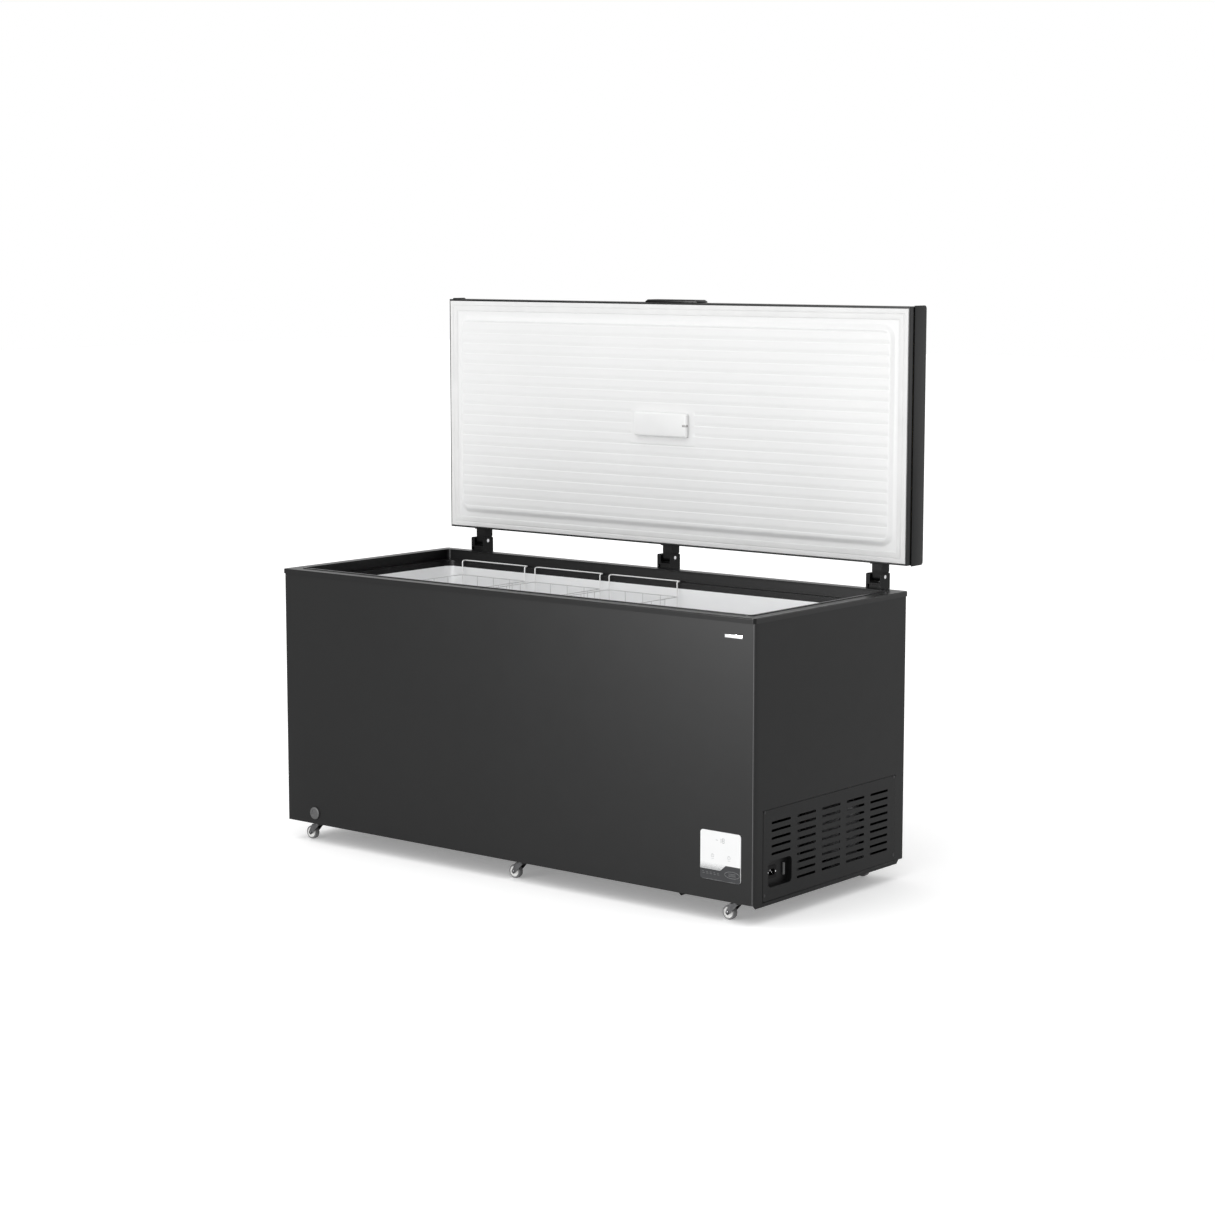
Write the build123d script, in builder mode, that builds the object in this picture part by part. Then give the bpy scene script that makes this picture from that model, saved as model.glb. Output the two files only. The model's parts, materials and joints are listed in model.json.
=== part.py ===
"""A chest freezer with its lid open: cabinet, lid, hinges, baskets, cooling set and castors.

Millimetres. +X runs to the right along the front, +Y to the back, +Z up. The origin is on the floor,
at the centre of the open freezer's box. Every piece is its own solid in its own STEP file.
"""

import os
from build123d import *

os.makedirs("parts", exist_ok=True)

# ---- Driving dimensions -------------------------------------------------------------------------
rim_length, rim_depth = 1650.0, 693.0  # outside of the plastic top frame
rim_z = 780.0  # floor to the top frame's outer edge
centre_y = -41.75  # the cabinet's centre line, in front of the open freezer's centre
sheet = 0.7  # steel skins

skin_x, skin_y = 820.7, 342.2  # half length and half depth over the steel skins
base_z = rim_z - 724.0  # underside of the cabinet
skin_top = rim_z - 4.0
front_y = centre_y - skin_y
back_y = centre_y + skin_y

opening_x, opening_y = 782.0, 302.0  # half size of the mouth in the top frame
ledge_z = rim_z - 28.0  # the ledge that the baskets hang on
tub_x, tub_y = 765.0, 285.0  # half size of the white tub
tub_top = rim_z - 45.3
tub_floor = rim_z - 662.0
step_x, step_z = 545.0, rim_z - 425.0  # the tub's step over the compressor
liner_wall = 0.9
tub_corner = 26.0

bay_x, bay_top = 584.0, rim_z - 482.0  # the compressor bay, under the step
tray_flange = 11.0

grille_low, grille_high = rim_z - 722.0, rim_z - 490.0
grille_front, grille_back = centre_y - 298.5, centre_y + 301.5
grille_gap = 0.9  # between the grille and the skin's opening

hinge_y, hinge_z = centre_y + 374.0, rim_z + 27.5  # the lid's axis
hinge_xs = (-710.0, 0.0, 710.0)
pin_radius = 5.0
running_gap = 0.05

lid_low, lid_height = rim_z + 65.0, 683.0  # the open lid stands up behind the mouth
lid_half, lid_thick, trim_depth = 814.7, 75.0, 19.0
lid_face_y = centre_y + 351.0  # the open lid's inner face

basket_xs = (-577.0, -292.5, -14.0)
basket_width, basket_length, basket_height = 256.0, 546.0, 205.0
basket_top = rim_z - 67.0
wire_radius = 2.2

castor_xs, castor_ys = (-743.0, 28.0, 743.0), (-302.0, 302.0)
wheel_radius, wheel_width, castor_trail = 19.0, 17.0, 21.0

panel_x, panel_z = 721.9, rim_z - 610.5  # centre of the control fascia
panel_width, panel_height = 126.0, 125.5
drain_x, drain_z, drain_radius = -714.0, rim_z - 693.0, 17.5

# The lid's own plane: its inner face, x along the hinge, y away from it, z out of the lid's inside.
lid_plane = Plane(origin=(0, lid_face_y, lid_low + lid_height / 2), x_dir=(1, 0, 0), z_dir=(0, -1, 0))
front_plane = Plane(origin=(0, front_y, 0), x_dir=(1, 0, 0), z_dir=(0, -1, 0))
side_plane = Plane(origin=(skin_x, 0, 0), x_dir=(0, 1, 0), z_dir=(1, 0, 0))


def save(builder, name):
    """Labels a finished piece and writes its STEP."""
    builder.part.label = name
    export_step(builder.part, f"parts/{name}.step")


def ring(plane, outer, inner, height, outer_corner, inner_corner):
    """A flat rectangular ring standing on a plane, as (half x, half y) sizes."""
    with BuildPart() as body:
        with BuildSketch(plane):
            RectangleRounded(2 * outer[0], 2 * outer[1], outer_corner)
            RectangleRounded(2 * inner[0], 2 * inner[1], inner_corner, mode=Mode.SUBTRACT)
        extrude(amount=height)
    return body.part


def level(z):
    """A horizontal plane over the cabinet's centre line."""
    return Plane(origin=(0, centre_y, z), x_dir=(1, 0, 0), z_dir=(0, 0, 1))


# ---- Steel skins --------------------------------------------------------------------------------
skin_height = skin_top - base_z
mid_z = base_z + skin_height / 2
window = 108.0  # hole behind the control fascia
drain_bore = 10.5

with BuildPart() as front_panel:
    with BuildSketch(front_plane):
        with Locations((0, mid_z)):
            Rectangle(2 * skin_x, skin_height)
        with Locations((panel_x, panel_z)):
            Rectangle(window, window, mode=Mode.SUBTRACT)
        with Locations((drain_x, drain_z)):
            Circle(drain_bore, mode=Mode.SUBTRACT)
    extrude(amount=-sheet)
    corners = front_panel.edges().filter_by(Axis.Z).group_by(Axis.Y)[0].sort_by(Axis.X)
    fillet([corners[0], corners[-1]], sheet * 0.8)
save(front_panel, "front_panel")

with BuildPart() as back_panel:
    with Locations((0, back_y - sheet / 2, mid_z)):
        Box(2 * skin_x, sheet, skin_height)
save(back_panel, "back_panel")

side_depth = 2 * (skin_y - sheet)
with BuildPart() as left_side_panel:
    with Locations((-skin_x + sheet / 2, centre_y, mid_z)):
        Box(sheet, side_depth, skin_height)
save(left_side_panel, "left_side_panel")

screw_radius = 1.9
screw_places = [
    (centre_y - 289.5, rim_z - 494.0),
    (centre_y + 294.0, rim_z - 494.0),
    (centre_y - 293.0, rim_z - 706.0),
    (centre_y + 296.0, rim_z - 706.0),
]
with BuildPart() as right_side_panel:
    with BuildSketch(side_plane):
        with Locations((centre_y, mid_z)):
            Rectangle(side_depth, skin_height)
        with Locations(((grille_front + grille_back) / 2, base_z)):
            Rectangle(
                grille_back - grille_front + 2 * grille_gap,
                2 * (grille_high + grille_gap - base_z),
                mode=Mode.SUBTRACT,
            )
    extrude(amount=-sheet)
save(right_side_panel, "right_side_panel")

with BuildPart() as bottom_panel:
    with Locations(((bay_x - skin_x + sheet) / 2, centre_y, base_z + sheet / 2)):
        Box(bay_x + skin_x - sheet, side_depth, sheet)
save(bottom_panel, "bottom_panel")

with BuildPart() as compressor_tray:
    tray_sheet = 1.2
    tray_width, tray_depth = 234.0, 660.0
    tray_x = bay_x + tray_width / 2
    with Locations((tray_x, centre_y - 4, base_z + tray_sheet / 2)):
        Box(tray_width, tray_depth, tray_sheet)
    for edge_x in (bay_x + tray_sheet / 2, bay_x + tray_width - tray_sheet / 2):
        with Locations((edge_x, centre_y - 4, base_z - tray_flange / 2)):
            Box(tray_sheet, tray_depth, tray_flange)
    ends = compressor_tray.edges().filter_by(Axis.X).group_by(Axis.Z)[0]
    chamfer(ends, 8.0)
save(compressor_tray, "compressor_tray")
tray_top = base_z + tray_sheet

# ---- Tub and insulation -------------------------------------------------------------------------


def tub_block(grow):
    """The stepped block that the tub encloses, grown outwards by a wall's thickness."""
    with BuildPart() as block:
        with BuildSketch(Plane(origin=(0, centre_y, 0), x_dir=(1, 0, 0), z_dir=(0, -1, 0))):
            with BuildLine():
                Polyline(
                    (-tub_x - grow, tub_top),
                    (-tub_x - grow, tub_floor - grow),
                    (step_x + grow, tub_floor - grow),
                    (step_x + grow, step_z - grow),
                    (tub_x + grow, step_z - grow),
                    (tub_x + grow, tub_top),
                    close=True,
                )
            make_face()
        extrude(amount=tub_y + grow, both=True)
        fillet(block.edges().filter_by(Axis.Z), tub_corner + grow)
    return block.part


tub_inside = tub_block(0)
tub_outside = tub_block(liner_wall)
tub_flange = ring(level(tub_top - liner_wall), (784, 304), (tub_x - 1, tub_y - 1), liner_wall, 12, tub_corner)
drain_y = centre_y - 230.0

with BuildPart() as inner_liner:
    add(tub_outside)
    add(tub_flange)
    add(tub_inside, mode=Mode.SUBTRACT)
    with Locations((drain_x, drain_y, tub_floor)):
        Cylinder(12.0, 8.0, mode=Mode.SUBTRACT)
save(inner_liner, "inner_liner")

# ---- Drain tube ---------------------------------------------------------------------------------
tube_outer, tube_inner = 10.0, 7.5


def drain_run(sketch_radii):
    """The drain's bent run, from the tub's floor to the front, as a rod or a tube."""
    with BuildPart() as run:
        with BuildLine() as drain_path:
            FilletPolyline(
                (drain_x, drain_y, tub_floor - liner_wall),
                (drain_x, drain_y, drain_z),
                (drain_x, front_y, drain_z),
                radius=14,
            )
        with BuildSketch(Plane(origin=(drain_x, drain_y, tub_floor - liner_wall), z_dir=(0, 0, -1))):
            Circle(sketch_radii[0])
            if len(sketch_radii) > 1:
                Circle(sketch_radii[1], mode=Mode.SUBTRACT)
        sweep(path=drain_path.wire())
    return run.part


with BuildPart() as drain_tube:
    add(drain_run((tube_outer, tube_inner)))
save(drain_tube, "drain_tube")
drain_channel = drain_run((tube_outer,))

foam_low, foam_high = base_z + sheet, rim_z - 16.0
with BuildPart() as cabinet_foam:
    with Locations((0, centre_y, foam_low)):
        Box(
            2 * (skin_x - sheet),
            side_depth,
            foam_high - foam_low,
            align=(Align.CENTER, Align.CENTER, Align.MIN),
        )
    add(tub_outside, mode=Mode.SUBTRACT)
    with Locations((0, centre_y, tub_top - liner_wall)):
        Box(1572, 612, 80, align=(Align.CENTER, Align.CENTER, Align.MIN), mode=Mode.SUBTRACT)
    with Locations((bay_x, centre_y, foam_low)):
        Box(
            300,
            side_depth + 2,
            bay_top - foam_low,
            align=(Align.MIN, Align.CENTER, Align.MIN),
            mode=Mode.SUBTRACT,
        )
    add(drain_channel, mode=Mode.SUBTRACT)
save(cabinet_foam, "cabinet_foam")

# ---- Evaporator tube, wound round the tub inside the foam ---------------------------------------
coil_turns, coil_pitch, coil_radius = 7, 44.0, 4.0
coil_x, coil_y = tub_x + liner_wall + coil_radius + 0.2, tub_y + liner_wall + coil_radius + 0.2
coil_points = []
for turn in range(coil_turns):
    for corner, (sx, sy) in enumerate(((-1, -1), (1, -1), (1, 1), (-1, 1))):
        drop = coil_pitch * (turn + corner / 4)
        coil_points.append((sx * coil_x, centre_y + sy * coil_y, rim_z - 80.0 - drop))
coil_start = Plane(
    origin=coil_points[0],
    z_dir=tuple(b - a for a, b in zip(coil_points[0], coil_points[1])),
)
with BuildPart() as evaporator_tube:
    with BuildLine() as coil_path:
        FilletPolyline(*coil_points, radius=tub_corner + liner_wall + coil_radius + 0.2)
    with BuildSketch(coil_start):
        Circle(coil_radius)
    sweep(path=coil_path.wire())
save(evaporator_tube, "evaporator_tube")

# ---- Top frame and collar -----------------------------------------------------------------------
lip_height, lip_wall, raised_edge = 13.5, 3.9, 1.75
deck = ring(level(rim_z - 4), (rim_length / 2, rim_depth / 2), (opening_x, opening_y), 4, 8, 10)
lip = ring(
    level(rim_z - lip_height),
    (rim_length / 2, rim_depth / 2),
    (rim_length / 2 - lip_wall, rim_depth / 2 - lip_wall),
    lip_height - 4,
    8,
    1,
)
bead = ring(level(rim_z), (opening_x + 9, opening_y + 9), (opening_x, opening_y), raised_edge, 19, 10)
with BuildPart() as top_frame:
    add(deck)
    add(lip)
    fillet(top_frame.faces().sort_by(Axis.Z)[-1].outer_wire().edges(), 2.5)
    add(bead)
save(top_frame, "top_frame")

collar_out = (opening_x + 3.5, opening_y + 3.5)
with BuildPart() as frame_collar:
    add(ring(level(ledge_z), collar_out, (opening_x, opening_y), rim_z - 4 - ledge_z, 13, 10))
    add(ring(level(ledge_z - 3), collar_out, (tub_x, tub_y), 3, 13, tub_corner))
    add(
        ring(
            level(tub_top),
            (tub_x + 3, tub_y + 3),
            (tub_x, tub_y),
            ledge_z - 3 - tub_top,
            tub_corner + 3,
            tub_corner,
        )
    )
save(frame_collar, "frame_collar")

# ---- Vent grille on the right side --------------------------------------------------------------
grille_thick = 2.5
grille_plane = side_plane.offset(-1.9)
grille_face_x = skin_x - 1.9 + grille_thick
grille_mid_y, grille_mid_z = (grille_front + grille_back) / 2, (grille_low + grille_high) / 2
slot_length, slot_height = 82.5, 6.5
column_pitch, row_pitch, rows, columns = 111.4, 19.9, 9, 5
first_column_y = centre_y - 346.5 + 84.0 + slot_length / 2
top_row_z = rim_z - 525.5
pocket_front, pocket_back = centre_y - 276.5, centre_y - 174.5
pocket_low, pocket_high = rim_z - 690.0, rim_z - 623.0
pocket_depth, pocket_wall = 17.0, 2.0
with BuildPart() as vent_grille:
    with BuildSketch(grille_plane):
        with Locations((grille_mid_y, grille_mid_z)):
            RectangleRounded(grille_back - grille_front, grille_high - grille_low, 5)
    extrude(amount=grille_thick)
    rim_edges = vent_grille.faces().sort_by(Axis.X)[-1].edges()
    fillet(rim_edges, 1.2)
    with BuildSketch(grille_plane):
        for column in range(columns):
            count = 5 if column == 0 else rows
            for row in range(count):
                with Locations((first_column_y + column * column_pitch, top_row_z - row * row_pitch)):
                    RectangleRounded(slot_length, slot_height, 2)
    extrude(amount=grille_thick + 1, mode=Mode.SUBTRACT)
    with BuildSketch(grille_plane.offset(-pocket_depth)):
        with Locations(((pocket_front + pocket_back) / 2, (pocket_low + pocket_high) / 2)):
            RectangleRounded(
                pocket_back - pocket_front + 2 * pocket_wall, pocket_high - pocket_low + 2 * pocket_wall, 13
            )
    extrude(amount=pocket_depth + 1)
    with BuildSketch(grille_plane.offset(-pocket_depth + pocket_wall)):
        with Locations(((pocket_front + pocket_back) / 2, (pocket_low + pocket_high) / 2)):
            RectangleRounded(pocket_back - pocket_front, pocket_high - pocket_low, 12)
    extrude(amount=pocket_depth + grille_thick, mode=Mode.SUBTRACT)
    inlet_y, inlet_z = pocket_front + 36.0, (pocket_low + pocket_high) / 2
    inlet_width, inlet_height = 31.0, 24.5
    with BuildSketch(grille_plane.offset(-pocket_depth - 1)):
        with Locations((inlet_y, inlet_z)):
            Rectangle(inlet_width, inlet_height)
    extrude(amount=pocket_wall + 2, mode=Mode.SUBTRACT)
    with BuildSketch(grille_plane):
        with Locations(*screw_places):
            Circle(screw_radius)
    extrude(amount=grille_thick + 1, mode=Mode.SUBTRACT)
save(vent_grille, "vent_grille")

with BuildPart() as grille_screws:
    for screw_y, screw_z in screw_places:
        with BuildSketch(Plane(origin=(grille_face_x, screw_y, screw_z), z_dir=(1, 0, 0))):
            Circle(3.8)
        extrude(amount=1.2)
        with BuildSketch(Plane(origin=(grille_face_x, screw_y, screw_z), z_dir=(1, 0, 0))):
            Circle(screw_radius)
        extrude(amount=-8.0)
save(grille_screws, "grille_screws")

# A three-pin mains inlet at the back of the grille's pocket.
inlet_face_x = skin_x - 1.9 - pocket_depth + pocket_wall
inlet_face = Plane(origin=(inlet_face_x, inlet_y, inlet_z), x_dir=(0, 1, 0), z_dir=(1, 0, 0))
inlet_depth = 18.0
with BuildPart() as mains_inlet:
    with BuildSketch(inlet_face):
        RectangleRounded(40, 32, 3)
    extrude(amount=2.5)
    with BuildSketch(inlet_face):
        Rectangle(inlet_width - 0.6, inlet_height - 0.6)
    extrude(amount=-inlet_depth)
    with BuildSketch(inlet_face.offset(2.5)):
        with BuildLine():
            Polyline(
                (-12.2, -8.2), (12.2, -8.2), (12.2, 4.2), (8.2, 8.2), (-8.2, 8.2), (-12.2, 4.2), close=True
            )
        make_face()
    extrude(amount=-17.0, mode=Mode.SUBTRACT)
    with BuildSketch(inlet_face.offset(-15.0)):
        with Locations((-7, -2), (7, -2), (0, 3)):
            Rectangle(2, 4)
    extrude(amount=13.0)
save(mains_inlet, "mains_inlet")

# ---- Compressor bay -----------------------------------------------------------------------------
pot_x, pot_y = 702.0, centre_y + 165.0
foot_z = tray_top + 18.0
with BuildPart() as compressor:
    with BuildSketch(Plane(origin=(pot_x, pot_y, foot_z + 3), z_dir=(0, 0, 1))):
        Ellipse(76, 92)
    extrude(amount=164)
    fillet(compressor.edges().group_by(Axis.Z)[-1], 46)
    fillet(compressor.edges().group_by(Axis.Z)[0], 24)
    with BuildSketch(Plane(origin=(pot_x, pot_y, foot_z + 78), z_dir=(0, 0, 1))):
        Ellipse(79, 95)
    extrude(amount=5)
    with BuildSketch(Plane(origin=(pot_x, pot_y, foot_z), z_dir=(0, 0, 1))):
        RectangleRounded(150, 210, 12)
        with GridLocations(126, 186, 2, 2):
            Circle(6, mode=Mode.SUBTRACT)
    extrude(amount=3.5)
    with Locations((pot_x, pot_y - 96, foot_z + 55)):
        Box(58, 30, 56)
save(compressor, "compressor")

with BuildPart() as compressor_mounts:
    with BuildSketch(Plane(origin=(pot_x, pot_y, tray_top), z_dir=(0, 0, 1))):
        with GridLocations(126, 186, 2, 2):
            Circle(12)
    extrude(amount=foot_z - tray_top)
    with BuildSketch(Plane(origin=(pot_x, pot_y, foot_z), z_dir=(0, 0, 1))):
        with GridLocations(126, 186, 2, 2):
            Circle(5.9)
    extrude(amount=9)
save(compressor_mounts, "compressor_mounts")

condenser_y, condenser_z = centre_y - 118.0, base_z + 106.0
condenser_width, condenser_height, condenser_depth = 180.0, 190.0, 44.0
fin_count = 19
with BuildPart() as condenser:
    with Locations((pot_x, condenser_y, condenser_z)):
        with GridLocations(condenser_width / (fin_count - 1), 1, fin_count, 1):
            Box(0.8, condenser_depth, condenser_height)
    with BuildSketch(Plane(origin=(pot_x, condenser_y, condenser_z), x_dir=(0, 1, 0), z_dir=(1, 0, 0))):
        with GridLocations(22, 31, 2, 6):
            Circle(4)
    extrude(amount=condenser_width / 2 + 6, both=True)
save(condenser, "condenser")

fan_y = centre_y - 76.0
fan_plane = Plane(origin=(pot_x, fan_y, condenser_z), x_dir=(1, 0, 0), z_dir=(0, 1, 0))
fan_opening, fan_radius = 80.0, 74.0
with BuildPart() as fan_shroud:
    with BuildSketch(fan_plane.offset(-16)):
        Rectangle(200, 200)
        Circle(fan_opening, mode=Mode.SUBTRACT)
    extrude(amount=1.5)
    with BuildSketch(fan_plane.offset(-16)):
        Circle(fan_opening + 1.5)
        Circle(fan_opening, mode=Mode.SUBTRACT)
    extrude(amount=22)
    with BuildSketch(fan_plane.offset(26)):
        Rectangle(24, 2 * fan_opening + 4)
    extrude(amount=2)
    for side in (-1, 1):
        with Locations((pot_x, fan_y + 6, condenser_z + side * (fan_opening + 1))):
            Box(24, 44, 2)
save(fan_shroud, "fan_shroud")

shaft_radius = 3.0
with BuildPart() as fan_motor:
    with BuildSketch(fan_plane.offset(26)):
        Circle(23)
    extrude(amount=-14)
    with BuildSketch(fan_plane.offset(12)):
        Circle(shaft_radius)
    extrude(amount=-24)
save(fan_motor, "fan_motor")

with BuildPart() as fan_rotor:
    with BuildSketch(fan_plane.offset(-11)):
        Circle(17)
    extrude(amount=21)
    for blade in range(5):
        turned = fan_plane.offset(-1).location * Location((0, 0, 0), (0, 0, 72 * blade))
        with BuildSketch(Plane(turned * Location((0, 0, 0), (24, 0, 0)))):
            with BuildLine():
                Polyline(
                    (12, -12),
                    (fan_radius - 8, -24),
                    (fan_radius - 4, 0),
                    (fan_radius - 8, 22),
                    (12, 9),
                    close=True,
                )
            make_face()
        extrude(amount=0.9, both=True)
    with BuildSketch(fan_plane.offset(-13)):
        Circle(shaft_radius + running_gap)
    extrude(amount=26, mode=Mode.SUBTRACT)
save(fan_rotor, "fan_rotor")

with BuildPart() as filter_drier:
    with BuildSketch(Plane(origin=(bay_x + 32, centre_y + 20, base_z + 40), z_dir=(0, 0, 1))):
        Circle(9.5)
    extrude(amount=110)
    fillet(filter_drier.edges(), 6)
save(filter_drier, "filter_drier")

with BuildPart() as suction_pipe:
    with BuildLine() as pipe_path:
        FilletPolyline(
            (pot_x - 20, pot_y + 90, foot_z + 70),
            (pot_x - 20, pot_y + 128, foot_z + 70),
            (pot_x - 20, pot_y + 128, bay_top - 30),
            (bay_x + 2, pot_y + 128, bay_top - 30),
            radius=18,
        )
    with BuildSketch(Plane(origin=(pot_x - 20, pot_y + 90, foot_z + 70), z_dir=(0, 1, 0))):
        Circle(4)
    sweep(path=pipe_path.wire())
save(suction_pipe, "suction_pipe")

# ---- Control panel, badge and drain -------------------------------------------------------------
fascia_thick, housing_wall, housing_depth = 2.0, 1.6, 25.0
with BuildPart() as control_fascia:
    with BuildSketch(front_plane):
        with Locations((panel_x, panel_z)):
            RectangleRounded(panel_width, panel_height, 8)
    extrude(amount=fascia_thick)
    fillet(control_fascia.faces().sort_by(Axis.Y)[0].edges(), 1.0)
save(control_fascia, "control_fascia")

with BuildPart() as control_housing:
    with BuildSketch(front_plane.offset(-0.1)):
        with Locations((panel_x, panel_z)):
            RectangleRounded(window - 0.6, window - 0.6, 4)
    extrude(amount=-housing_depth)
    offset(amount=-housing_wall, openings=control_housing.faces().sort_by(Axis.Y)[0])
save(control_housing, "control_housing")

with BuildPart() as control_board:
    with BuildSketch(front_plane.offset(-4)):
        with Locations((panel_x, panel_z)):
            Rectangle(98, 98)
    extrude(amount=-1.6)
    with BuildSketch(front_plane.offset(-5.6)):
        with Locations((panel_x - 20, panel_z - 20), (panel_x + 22, panel_z + 18)):
            Rectangle(30, 22)
    extrude(amount=-12)
save(control_board, "control_board")

with BuildPart() as badge:
    with BuildSketch(front_plane):
        with Locations((758, rim_z - 50)):
            RectangleRounded(54, 8, 3)
    extrude(amount=0.8)
save(badge, "badge")

with BuildPart() as drain_cap:
    with BuildSketch(front_plane.offset(0.3)):
        with Locations((drain_x, drain_z)):
            Circle(drain_radius)
    extrude(amount=3.6)
    fillet(drain_cap.edges().group_by(Axis.Y)[0], 1.4)
    with BuildSketch(front_plane.offset(0.3)):
        with Locations((drain_x, drain_z)):
            Circle(tube_inner - 0.3)
    extrude(amount=-16)
save(drain_cap, "drain_cap")

with BuildPart() as drain_bung:
    with BuildSketch(Plane(origin=(drain_x, drain_y, tub_floor + 0.3), z_dir=(0, 0, 1))):
        Circle(16)
    extrude(amount=4)
    fillet(drain_bung.edges().group_by(Axis.Z)[-1], 1.5)
    with BuildSketch(Plane(origin=(drain_x, drain_y, tub_floor + 4), z_dir=(0, 0, 1))):
        Circle(6)
    extrude(amount=9)
    with BuildSketch(Plane(origin=(drain_x, drain_y, tub_floor + 0.4), z_dir=(0, 0, 1))):
        Circle(tube_inner - 0.4)
    extrude(amount=-10)
save(drain_bung, "drain_bung")

# ---- Hinges -------------------------------------------------------------------------------------
bracket_left, bracket_right = -24.0, 23.5  # from each hinge's own centre
cheek_right, arm_left, arm_right = -11.5, -11.0, 20.9
thin_cheek = 2.2
hub_radius = 12.0
hinge_names = ("left", "middle", "right")


def profile_plane(x):
    """A plane across the hinge axis: its x is +Y and its y is +Z."""
    return Plane(origin=(x, 0, 0), x_dir=(0, 1, 0), z_dir=(1, 0, 0))


for hinge_name, hinge_x in zip(hinge_names, hinge_xs):
    with BuildPart() as hinge_bracket:
        with BuildSketch(profile_plane(hinge_x + bracket_left)):
            with BuildLine():
                Polyline(
                    (back_y + 0.1, rim_z - 130),
                    (back_y + 0.1, rim_z - 17),
                    (centre_y + 349, rim_z - 17),
                    (centre_y + 352, rim_z - 10),
                    (centre_y + 352, rim_z + 12),
                    (centre_y + 397, rim_z + 12),
                    (centre_y + 397, rim_z - 70),
                    (centre_y + 372, rim_z - 130),
                    close=True,
                )
            make_face()
        extrude(amount=bracket_right - bracket_left)
        with BuildSketch(profile_plane(hinge_x + bracket_left)):
            with Locations((centre_y + 374.5, rim_z + 24)):
                Rectangle(45, 26)
        extrude(amount=cheek_right - bracket_left)
        with BuildSketch(profile_plane(hinge_x + bracket_right)):
            with Locations((centre_y + 374.5, rim_z + 24)):
                Rectangle(45, 26)
        extrude(amount=-thin_cheek)
        fillet(hinge_bracket.edges().filter_by(Axis.X).group_by(Axis.Z)[-1], 4)
        with BuildSketch(profile_plane(hinge_x + bracket_left)):
            with Locations((hinge_y, hinge_z)):
                Circle(pin_radius)
        extrude(amount=bracket_right - bracket_left, mode=Mode.SUBTRACT)
        with Locations((hinge_x - 2, centre_y + 352, rim_z)):
            Box(34, 12, 17, mode=Mode.SUBTRACT)
        with Locations((hinge_x, centre_y + 397, rim_z - 32)):
            Box(33, 30, 62, mode=Mode.SUBTRACT)
    save(hinge_bracket, f"hinge_bracket_{hinge_name}")

with BuildPart() as hinge_pins:
    for hinge_x in hinge_xs:
        with BuildSketch(profile_plane(hinge_x + bracket_left)):
            with Locations((hinge_y, hinge_z)):
                Circle(pin_radius)
        extrude(amount=bracket_right - bracket_left)
save(hinge_pins, "hinge_pins")

arm_front, arm_back = centre_y + 361.0, centre_y + 397.0
with BuildPart() as hinge_arms:
    for hinge_x in hinge_xs:
        with BuildSketch(profile_plane(hinge_x + arm_left)):
            with Locations((hinge_y, hinge_z)):
                Circle(hub_radius)
            with BuildLine():
                Polyline(
                    (hinge_y - hub_radius, hinge_z),
                    (arm_front, rim_z + 46),
                    (arm_front, lid_low - 3),
                    (arm_back, lid_low - 3),
                    (arm_back, rim_z + 41),
                    (hinge_y + hub_radius, hinge_z),
                    close=True,
                )
            make_face()
        extrude(amount=arm_right - arm_left)
        with Locations((hinge_x + 6.25, centre_y + 390, lid_low - 1.5)):
            Box(46, 62, 3)
        with BuildSketch(profile_plane(hinge_x + arm_left)):
            with Locations((hinge_y, hinge_z)):
                Circle(pin_radius + running_gap)
        extrude(amount=arm_right - arm_left, mode=Mode.SUBTRACT)
save(hinge_arms, "hinge_arms")

# ---- Lid, drawn standing open on its own plane --------------------------------------------------
lid_panel_half, cap_thick = 815.0, 3.0
with BuildPart() as lid_outer_panel:
    with BuildSketch(lid_plane.offset(-lid_thick)):
        Rectangle(2 * lid_panel_half, lid_height)
    extrude(amount=lid_thick - trim_depth)
    fillet(lid_outer_panel.edges().filter_by(Axis.X).group_by(Axis.Y)[-1], 7)
    inner = lid_outer_panel.faces().filter_by(Axis.X) + lid_outer_panel.faces().sort_by(Axis.Y)[:1]
    offset(amount=-sheet, openings=inner)
save(lid_outer_panel, "lid_outer_panel")

for side, end_name in ((-1, "left"), (1, "right")):
    with BuildPart() as lid_end_cap:
        with BuildSketch(lid_plane.offset(-lid_thick - 0.3)):
            with Locations((side * (lid_panel_half + cap_thick / 2), 0)):
                Rectangle(cap_thick, lid_height + 6)
        extrude(amount=lid_thick - trim_depth + 0.3)
        fillet(lid_end_cap.edges().filter_by(Axis.X).group_by(Axis.Y)[-1], 9)
    save(lid_end_cap, f"lid_end_cap_{end_name}")

liner_half_x, liner_half_v = 790.0, 316.0
with BuildPart() as lid_trim:
    with BuildSketch(lid_plane.offset(-trim_depth)):
        Rectangle(2 * lid_half, lid_height)
        Rectangle(2 * liner_half_x, 2 * liner_half_v, mode=Mode.SUBTRACT)
    extrude(amount=trim_depth)
    fillet(lid_trim.faces().sort_by(Axis.Y)[0].outer_wire().edges(), 1.5)
save(lid_trim, "lid_trim")

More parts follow.
